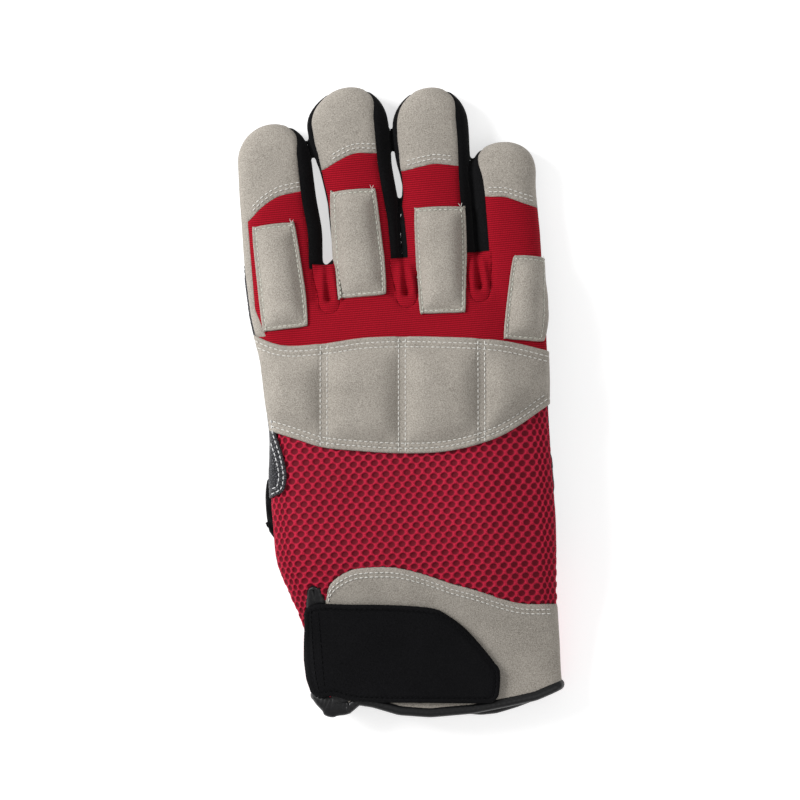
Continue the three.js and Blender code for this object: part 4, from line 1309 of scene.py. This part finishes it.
@dataclass
class KnuckleBand:
    """The suede band over the knuckles, quilted into four cells by three channels."""

    skin: Skin
    lip: float = 1.15
    rise: float = 3.1
    seam: float = 2.0
    second_seam: float = 4.0
    swell: float = 4.4
    channel_half: float = 1.35
    # top across, top, foot across, foot, channel
    stations: tuple = (
        (-0.52, 0.945, -0.51, 0.715, False), (-0.411, 0.905, -0.377, 0.677, False),
        (-0.266, 0.901, -0.294, 0.654, True), (-0.132, 0.907, -0.162, 0.638, False),
        (0.001, 0.903, -0.03, 0.626, True), (0.141, 0.894, 0.11, 0.622, False),
        (0.269, 0.883, 0.242, 0.635, True), (0.377, 0.868, 0.354, 0.663, False),
        (0.52, 0.835, 0.51, 0.728, False))

    def edges(self) -> tuple[list, list]:
        """The band's top edge and its foot, from the thumb side."""
        top = rounded(plan([(row[0], row[1]) for row in self.stations]), 5, closed=False)
        foot = rounded(plan([(row[2], row[3]) for row in self.stations]), 5, closed=False)
        return top, foot

    def channels(self) -> list[list]:
        """The middle lines of the channels."""
        return [plan([(row[0], row[1]), (row[2], row[3])]) for row in self.stations if row[4]]

    def build(self) -> None:
        """Makes the band and its stitches."""
        top, foot = self.edges()
        outline = turned_left([*foot, *reversed(top)])
        cover = Cover(self.skin, "knuckle_band", outline, Side.BACK, GREY_SUEDE, "grey_suede")

        def thickness(p: np.ndarray, depth: np.ndarray) -> np.ndarray:
            channel = np.full(len(p), np.inf)
            for a, b in self.channels():
                channel = np.minimum(channel, np.abs(outline_distance(p, [a, b, a])))
            edge = soft_edge(depth, self.lip)
            pinch = 0.36 * np.exp(-((depth - self.seam) / 0.55) ** 2)
            pinch += 0.36 * np.exp(-((depth - self.second_seam) / 0.6) ** 2)
            puff = np.full(len(p), self.rise)
            for line in (top, foot):
                away = np.abs(outline_distance(p, [*line, *reversed(line)])) - self.second_seam
                puff *= dome_share(away, self.swell)
            away = channel - self.channel_half
            puff *= dome_share(away, self.swell)
            ends = np.minimum(p[:, 0] - top[0][0], top[-1][0] - p[:, 0])
            puff *= smooth_share(ends, 3.5, 13.0)
            groove = 0.5 * np.exp(-(channel / 2.2) ** 4)
            clear = smooth_share(np.abs(over_middle(p)), 0.0, 5.0)
            return (edge - pinch + puff - groove) * (0.3 + 0.7 * clear)

        surface = cover.build(thickness)
        stitching = Stitching()
        bm = bmesh.new()
        for distance in (self.seam, self.second_seam):
            stitching.row(bm, inset(top, -distance, closed=False)[1:-1], surface, Side.BACK)
            stitching.row(bm, inset(foot, distance, closed=False)[1:-1], surface, Side.BACK)
        for a, b in self.channels():
            high = np.array(a) + (np.array(b) - np.array(a)) * 0.01
            low = np.array(a) + (np.array(b) - np.array(a)) * 0.99
            for shift in (-self.channel_half, self.channel_half):
                line = inset([tuple(high), tuple(low)], shift, closed=False)
                stitching.row(bm, line, surface, Side.BACK)
        finished(bm, "band_stitches", LIGHT_THREAD, "thread")


@dataclass
class Patches:
    """The padded leather patches on the palm, each sewn down by two rows of white stitches."""

    skin: Skin
    edge: float = 1.1
    rise: float = 0.55
    first_row: float = 1.4
    row_gap: float = 1.8
    clear_of_seam: float = 2.6

    def outlines(self) -> dict[str, tuple[list, Side]]:
        """The outline of each patch and the face of the glove that it is on."""
        scalloped = [
            (0.465, 0.8), (0.455, 0.879), (0.409, 0.937), (0.357, 0.951), (0.304, 0.945), (0.252, 0.915),
            (0.209, 0.904), (0.179, 0.94), (0.144, 0.965), (0.104, 0.979), (0.03, 0.955), (-0.008, 0.946),
            (-0.051, 0.969), (-0.12, 0.994), (-0.17, 0.982), (-0.208, 0.948), (-0.262, 0.9), (-0.324, 0.855),
            (-0.354, 0.8), (-0.331, 0.756), (-0.291, 0.747), (-0.205, 0.77), (-0.124, 0.79), (-0.028, 0.804),
            (0.121, 0.787), (0.303, 0.766), (0.404, 0.764), (0.447, 0.776)]
        heel = [
            (0.325, 0.729), (0.379, 0.71), (0.432, 0.673), (0.468, 0.61), (0.48, 0.532), (0.442, 0.461),
            (0.36, 0.43), (0.284, 0.428), (0.198, 0.472), (0.143, 0.519), (0.055, 0.59), (0.09, 0.64),
            (0.2, 0.7)]
        thumb_base = [
            (-0.011, 0.555), (0.055, 0.54), (0.12, 0.51), (0.174, 0.455), (0.174, 0.422), (0.148, 0.392),
            (0.108, 0.375), (0.055, 0.369), (-0.008, 0.378), (-0.088, 0.405), (-0.165, 0.44), (-0.15, 0.5),
            (-0.09, 0.545)]
        index_side = [
            (-0.375, 1.1), (-0.43, 1.113), (-0.514, 1.105), (-0.56, 1.08), (-0.56, 0.96), (-0.55, 0.84),
            (-0.54, 0.81), (-0.434, 0.81), (-0.375, 0.82), (-0.357, 0.896), (-0.352, 0.939), (-0.374, 0.978),
            (-0.396, 1.016), (-0.377, 1.049)]
        crotch = [
            (-0.113, 0.73), (-0.08, 0.69), (-0.076, 0.66), (-0.1, 0.633), (-0.146, 0.624), (-0.22, 0.639),
            (-0.283, 0.646), (-0.337, 0.635), (-0.419, 0.612), (-0.6, 0.575), (-0.6, 0.76), (-0.48, 0.785),
            (-0.42, 0.76), (-0.37, 0.725), (-0.29, 0.715), (-0.2, 0.74)]
        crotch_edge = [
            (-0.6, 0.76), (-0.468, 0.749), (-0.45, 0.695), (-0.43, 0.632), (-0.428, 0.583), (-0.46, 0.55),
            (-0.6, 0.546)]
        return {
            "scalloped_patch": (scalloped, Side.PALM),
            "heel_patch": (heel, Side.PALM),
            "thumb_base_patch": (thumb_base, Side.PALM),
            "index_side_patch": (index_side, Side.PALM),
            "thumb_crotch_patch": (crotch, Side.PALM),
            "thumb_crotch_patch_edge": (crotch_edge, Side.BACK)}

    def build(self) -> None:
        """Makes the patches and their stitches."""
        bm = bmesh.new()
        stitching = Stitching()
        for name, (shape, side) in self.outlines().items():
            outline = turned_left(rounded(plan(shape), 6))
            over = 0.0 if name.startswith("thumb_crotch") else -self.clear_of_seam
            cover = Cover(
                self.skin, name, outline, side, GRAINED_LEATHER, "grained_leather", over=over)
            surface = cover.build(self.thickness)
            for row in range(2):
                line = inset(outline, self.first_row + row * self.row_gap)
                stitching.row(bm, [*line, line[0]], surface, side)
        finished(bm, "patch_stitches", WHITE_THREAD, "thread")

    def thickness(self, places: np.ndarray, depth: np.ndarray) -> np.ndarray:
        """The patch's thickness, pinched along its stitches and puffed inside them."""
        edge = soft_edge(depth, self.edge)
        for row in range(2):
            edge -= 0.3 * np.exp(-((depth - self.first_row - row * self.row_gap) / 0.5) ** 2)
        inner = (depth - self.first_row - self.row_gap).clip(0)
        puff = self.rise * (1 - np.exp(-(inner / 2.2) ** 1.5))
        clear = smooth_share(np.abs(over_middle(places)), 0.0, 6.0)
        return (edge + puff) * (0.25 + 0.75 * clear)


@dataclass
class WristStrap:
    """The tab of hook-and-loop cloth that closes the cuff over its slit."""

    skin: Skin
    lift: float = 1.1
    thickness: float = 1.7
    seam: float = 2.0
    start: tuple = (-0.401, 0.013)
    # Shares of the tab's length and width
    shape: tuple = (
        (0, 0.82), (0.03, 1), (0.25, 0.98), (0.5, 0.94), (0.67, 0.89), (0.735, 0.83), (0.83, 0.69),
        (0.92, 0.49), (0.97, 0.36), (0.995, 0.28), (0.985, 0.1), (0.965, 0.03), (0.91, 0), (0.62, 0.04),
        (0.25, 0.1), (0.12, 0.17), (0.01, 0.22))

    def build(self) -> None:
        """Makes the tab and its stitches."""
        x, y = plan([self.start])[0]
        outline = turned_left(rounded(
            [(x + s * STRAP_LENGTH, y + t * STRAP_WIDTH) for s, t in self.shape], 4))
        cover = Cover(
            self.skin, "wrist_strap", outline, Side.BACK, STRAP_LOOP, "strap_loop", base=self.lift)

        def thickness(p: np.ndarray, depth: np.ndarray) -> np.ndarray:
            edge = soft_edge(depth, self.thickness, 0.35, 0.5)
            return edge - 0.35 * np.exp(-((depth - self.seam) / 0.5) ** 2)

        surface = cover.build(thickness)
        bm = bmesh.new()
        stitching = Stitching(thickness=0.5)
        line = inset(outline, self.seam)
        stitching.row(bm, [*line, line[0]], surface, Side.BACK)
        seam_x = x + 5.0
        stitching.row(
            bm, [(seam_x, y + 0.26 * STRAP_WIDTH), (seam_x, y + 0.94 * STRAP_WIDTH)], surface, Side.BACK)
        finished(bm, "strap_stitches", DARK_THREAD, "thread")


@dataclass
class SeamRows:
    """The double rows of stitches at the fingertip caps and the wrist panel."""

    skin: Skin
    near: float = 2.0
    far: float = 3.7

    def build(self) -> None:
        """Makes the rows."""
        surface = BVHTree.FromBMesh(self.skin.mesh)
        stitching = Stitching()
        back = bmesh.new()
        palm = bmesh.new()
        for finger in FINGERS:
            for shift in (self.near, self.far):
                seam = [(x, y + shift) for x, y in cap_seam(finger)]
                trimmed = [p for p in seam if self.on_finger(p, finger)]
                stitching.row(back, trimmed, surface, Side.BACK)
                v = finger.tip - PALM_CAP_LENGTH * finger.palm_cap + shift - 0.4
                across = [finger.point(u * finger.half, v) for u in np.linspace(-0.86, 0.86, 9)]
                stitching.row(palm, across, surface, Side.PALM)
        for shift in (self.near, self.far):
            seam = [(x, y - shift) for x, y in rounded(WRIST_SEAM, 4, closed=False)]
            edge = KNUCKLE_WIDTH * 0.44
            stitching.row(back, [p for p in seam if p[0] < edge][2:], surface, Side.BACK)
        finished(back, "cap_stitches", LIGHT_THREAD, "thread")
        finished(palm, "palm_cap_stitches", WHITE_THREAD, "thread")

    def on_finger(self, spot: tuple[float, float], finger: Finger) -> bool:
        """Whether a spot lies on the part of a finger's back that a cap covers."""
        low = {"index": -0.92, "little": -0.6}.get(finger.name, -0.8)
        high = 0.92 if finger.name == "little" else 0.58
        return low < (spot[0] - finger.x) / finger.half + 0.02 * finger.lean < high


@dataclass
class Thumb:
    """The black thumb, tucked under the palm, with its suede and leather tips."""

    skin: Skin
    fold: float = 0.5
    seam_dip: float = 0.4
    root_proud: float = 1.6

    def centre_line(self, at: np.ndarray) -> np.ndarray:
        """The columns of the thumb's table, in millimetres, at places between its rows."""
        rows = np.arange(len(THUMB_SECTIONS))
        scales = (KNUCKLE_WIDTH, PALM_LENGTH, THUMB_WIDTH, THUMB_THICKNESS, THUMB_THICKNESS / 2)
        return np.column_stack([
            softened(rows, THUMB_SECTIONS[:, column] * scale, at, 0.5)
            for column, scale in enumerate(scales)])

    def surface(self, around: np.ndarray, along: np.ndarray) -> np.ndarray:
        """Points on the thumb for the shares round and along it."""
        wide, high = oval(2 * math.pi * around, FINGER_SQUARENESS)
        tube_share = 0.8
        last = len(THUMB_SECTIONS) - 1
        at = (along / tube_share).clip(0, 1) * last
        rows = self.centre_line(at)
        ahead = self.centre_line((at + 0.4).clip(0, last))
        behind = self.centre_line((at - 0.4).clip(0, last))
        way = ahead[:, :2] - behind[:, :2]
        way /= np.linalg.norm(way, axis=1)[:, None]
        turn = (math.pi / 2) * (1 - (along - tube_share) / (1 - tube_share)).clip(0, 1)
        taper = np.where(along < tube_share, 1.0, np.sin(turn))
        reach = np.where(along < tube_share, 0.0, THUMB_TIP_ROUND * np.cos(turn))
        half = rows[:, 2] * taper * wide
        folds = self.fold * np.sin(at * 9.0 + 2.0 * wide) * smooth_share(5.5 - at, 0, 2.5)
        x = rows[:, 0] + way[:, 0] * reach + way[:, 1] * half
        y = rows[:, 1] + way[:, 1] * reach - way[:, 0] * half
        centre, hand_half = hand_edges(y)
        edge = centre - hand_half - self.root_proud
        x = np.where(x < edge, edge + 0.15 * (x - edge), x)
        return np.column_stack([
            x,
            y,
            rows[:, 3] + high * (rows[:, 4] * np.sqrt(taper) + folds)])

    def build(self) -> None:
        """Makes the thumb, its tips and their stitches."""
        body = tube(150, 84, self.surface)
        skin = BVHTree.FromBMesh(self.skin.mesh)

        def outside(middles: np.ndarray) -> np.ndarray:
            found = []
            for middle in middles:
                spot, normal, *_ = skin.find_nearest(Vector(middle))
                found.append((Vector(middle) - spot).dot(normal) > -2.6)
            return np.array(found)

        keep_faces(body, outside)
        drop_crumbs(body, 600)
        press_on_floor(body)
        rows = self.centre_line(np.array([6.2, 7.0]))
        way = rows[1, :2] - rows[0, :2]
        way /= np.linalg.norm(way)
        seam_at = rows[1, :2] @ way - (THUMB_CAP_LENGTH - THUMB_TIP_ROUND)
        height = rows[1, 3]
        cut_along(body, lambda p: p[:, :2] @ way - seam_at)
        cut_along(body, lambda p: p[:, 2] - height)
        surface = BVHTree.FromBMesh(body)
        zones = {
            "thumb": (BLACK_FLEECE, "black_fleece", lambda p: p[:, :2] @ way < seam_at),
            "thumb_front_cap": (GRAINED_LEATHER, "grained_leather", lambda p: (
                p[:, :2] @ way > seam_at) & (p[:, 2] > height)),
            "thumb_back_cap": (GREY_SUEDE, "grey_suede", lambda p: (
                p[:, :2] @ way > seam_at) & (p[:, 2] < height))}
        for name, (finish, slot, inside) in zones.items():
            part = body.copy()
            keep_faces(part, inside)
            bmesh.ops.subdivide_edges(part, edges=part.edges, cuts=1, use_grid_fill=True)
            part.normal_update()
            normals = [v.normal.copy() for v in part.verts]
            sink = self.seam_dip * np.exp(-(edge_distance(part) / 1.0) ** 2)
            for vertex, normal, depth in zip(part.verts, normals, sink):
                vertex.co -= normal * float(depth)
            inner = part.copy()
            for vertex, normal in zip(inner.verts, normals):
                vertex.co -= normal * WALL
            press_on_floor(part)
            line_inside(part, inner)
            finished(part, name, finish, slot, name)
        body.free()
        bm = bmesh.new()
        across = np.array([way[1], -way[0]])
        middle = way * seam_at + across * (rows[1, :2] @ across)
        for shift in (1.8, 3.5):
            for side in Side:
                line = [tuple(middle + way * shift + across * u) for u in np.linspace(-16, 16, 9)]
                Stitching().row(bm, line, surface, side)
        finished(bm, "thumb_stitches", LIGHT_THREAD, "thread")


@dataclass
class Welts:
    """The glossy bound edges round the hem and round the slit."""

    skin: Skin
    half_thick: float = 1.75
    proud: float = 0.8
    hem_half: float = 2.1
    flap_half: float = 5.4
    slit_half: float = 3.2
    slit_gap: float = 1.3
    sides: int = 14

    def swept(self, points: np.ndarray, normals: np.ndarray, half_wide: np.ndarray) -> bmesh.types.BMesh:
        """An oval roll along a line on the cloth.

        Args:
            points: the line.
            normals: the cloth's way outwards there.
            half_wide: half the roll's width along the cloth at each point.

        Returns:
            its mesh.
        """
        ways = np.gradient(points, axis=0)
        ways /= np.linalg.norm(ways, axis=1)[:, None]
        sides = np.cross(ways, normals)
        sides /= np.linalg.norm(sides, axis=1)[:, None]
        count = len(points) - 1

        def place(around: np.ndarray, along: np.ndarray) -> np.ndarray:
            index = np.rint(along * count).astype(int)
            turn = 2 * math.pi * around
            pucker = 0.08 * np.sin(index * 1.9)
            centre = points[index] + normals[index] * (self.proud - self.half_thick)
            return (centre + sides[index] * (half_wide[index] * np.cos(turn))[:, None]
                    + normals[index] * ((self.half_thick + pucker) * np.sin(turn))[:, None])

        return tube(count, self.sides, place)

    def hem_line(self) -> tuple[np.ndarray, np.ndarray]:
        """The hem from the slit's far side, over the back and the palm, to its thumb side."""
        slit = SLIT_LINE[2][0] + (SLIT_LINE[3][0] - SLIT_LINE[2][0]) * 0.55
        turns = np.linspace(0, 1, 721)
        y = np.full(len(turns), 4.0)
        for _ in range(8):
            x = hand_surface(turns, y)[:, 0]
            over = np.interp(x, [p[0] for p in BACK_HEM], [p[1] for p in BACK_HEM])
            under = np.interp(x, [p[0] for p in PALM_HEM], [p[1] for p in PALM_HEM])
            y = np.where(turns < 0.5, over, under) + BINDING_HEIGHT / 2
        points = hand_surface(turns, y)
        start = int(np.argmin(np.abs(points[:361, 0] - (slit + 0.3))))
        end = int(np.argmin(np.abs(points[:361, 0] - (slit + 2.0))))
        order = np.concatenate([np.arange(start, -1, -1), np.arange(719, end - 1, -1)])
        points = points[order]
        line = evenly(points, points, HEM_STEPS)
        for _ in range(3):
            line[1:-1] = (line[:-2] + 2 * line[1:-1] + line[2:]) / 4
        ways = np.gradient(line, axis=0)
        normals = np.column_stack([-ways[:, 2], np.zeros(len(line)), ways[:, 0]])
        normals /= np.linalg.norm(normals, axis=1)[:, None]
        if normals[5, 2] < 0:
            normals = -normals
        return line, normals

    def slit_line(self) -> tuple[np.ndarray, np.ndarray]:
        """The line round the slit, up its thumb side and down its far side."""
        gap = self.slit_gap
        bottom = rounded(SLIT_LINE, 10, closed=False)
        left = [p for p in inset(bottom, -gap, closed=False) if p[1] > 4.5]
        right = [p for p in inset(bottom, gap, closed=False) if p[1] > 4.5]
        apex = bottom[0]
        turn = [
            (apex[0] + gap * math.cos(angle), apex[1] - 1.5 + gap * math.sin(angle))
            for angle in np.linspace(math.pi, 0, 9)[1:-1]]
        if left[0][0] > right[0][0]:
            left, right = right, left
        spots = [*reversed(left), *turn, *right]
        surface = BVHTree.FromBMesh(self.skin.mesh)
        points = []
        normals = []
        for spot in spots:
            hit = surface.ray_cast(Vector((*spot, FAR)), Vector((0, 0, -1)))
            if hit[0] is not None:
                points.append(hit[0])
                normals.append(hit[1])
        hits = np.array(points)
        line = evenly(hits, hits, SLIT_STEPS)
        ups = evenly(hits, np.array(normals), SLIT_STEPS)
        ups /= np.linalg.norm(ups, axis=1)[:, None]
        return line, ups

    def build(self) -> None:
        """Makes the two bindings."""
        share = np.linspace(0, 1, HEM_STEPS)
        flap = np.exp(-((share - 0.966) / 0.026) ** 2)
        hem_half = self.hem_half + (self.flap_half - self.hem_half) * flap
        share = np.linspace(-1, 1, SLIT_STEPS)
        slit_half = self.slit_half * (0.35 + 0.65 * smooth_share(np.abs(share), 0.0, 0.24))
        hem = self.hem_line()
        hem[0][:, 1] += hem_half - self.hem_half
        for name, line, half in (
                ("hem_binding", hem, hem_half),
                ("slit_binding", self.slit_line(), slit_half)):
            bm = self.swept(*line, half)
            press_on_floor(bm)
            finished(bm, name, BINDING, "glossy_binding", name)


@dataclass
class Studio:
    """The pale floor, the soft light from the left and the camera straight above."""

    frame_width: float = 0.32
    lens: float = 400.0
    sensor: float = 36.0
    roll: float = -4.5
    centre: tuple = (-0.0009, 0.0009)
    glove_height: float = 0.02
    floor_glow: float = 0.6

    def build(self) -> None:
        """Makes the floor, the lights and the camera."""
        bm = bmesh.new()
        bmesh.ops.create_grid(bm, x_segments=1, y_segments=1, size=1.6)
        bmesh.ops.translate(bm, verts=bm.verts, vec=(0, 0, -0.0003))
        mesh = bpy.data.meshes.new("floor")
        bm.to_mesh(mesh)
        bm.free()
        floor = bpy.data.objects.new("floor", mesh)
        bpy.context.scene.collection.objects.link(floor)
        paint = bpy.data.materials.new("pale floor")
        paint.use_nodes = True
        shader = paint.node_tree.nodes["Principled BSDF"]
        shader.inputs["Base Color"].default_value = (0.75, 0.75, 0.75, 1)
        shader.inputs["Roughness"].default_value = 0.9
        shader.inputs["Emission Color"].default_value = (1, 1, 1, 1)
        shader.inputs["Emission Strength"].default_value = self.floor_glow
        mesh.materials.append(paint)
        self.lamp("key light", (-0.95, 0.5, 0.75), 0.5, 15.5)
        self.lamp("fill light", (0.7, -0.4, 1.2), 1.2, 3.0)
        world = bpy.data.worlds.new("studio")
        world.use_nodes = True
        world.node_tree.nodes["Background"].inputs["Color"].default_value = (1, 1, 1, 1)
        world.node_tree.nodes["Background"].inputs["Strength"].default_value = 0.42
        bpy.context.scene.world = world
        camera = bpy.data.cameras.new("camera")
        camera.lens = self.lens
        camera.sensor_width = self.sensor
        eye = bpy.data.objects.new("camera", camera)
        height = self.glove_height + self.frame_width * self.lens / self.sensor
        eye.location = (*self.centre, height)
        eye.rotation_euler = (0, 0, math.radians(self.roll))
        bpy.context.scene.collection.objects.link(eye)
        bpy.context.scene.camera = eye
        bpy.context.scene.view_settings.view_transform = "Standard"

    def lamp(self, name: str, place: tuple, size: float, power: float) -> None:
        """Adds a square soft light that faces the glove."""
        data = bpy.data.lights.new(name, "AREA")
        data.energy = power
        data.size = size
        lamp = bpy.data.objects.new(name, data)
        lamp.location = place
        lamp.rotation_euler = (-Vector(place)).to_track_quat("-Z", "Y").to_euler()
        bpy.context.scene.collection.objects.link(lamp)


def main() -> None:
    """Builds the glove and its stage."""
    logging.basicConfig(level=logging.INFO, format="%(name)s: %(message)s")
    Studio().build()
    skin = Skin()
    skin.build()
    Cloth(skin).build()
    Guards(skin).build()
    KnuckleBand(skin).build()
    Patches(skin).build()
    WristStrap(skin).build()
    SeamRows(skin).build()
    Thumb(skin).build()
    Welts(skin).build()
    skin.mesh.free()


if __name__ == "__main__":
    main()
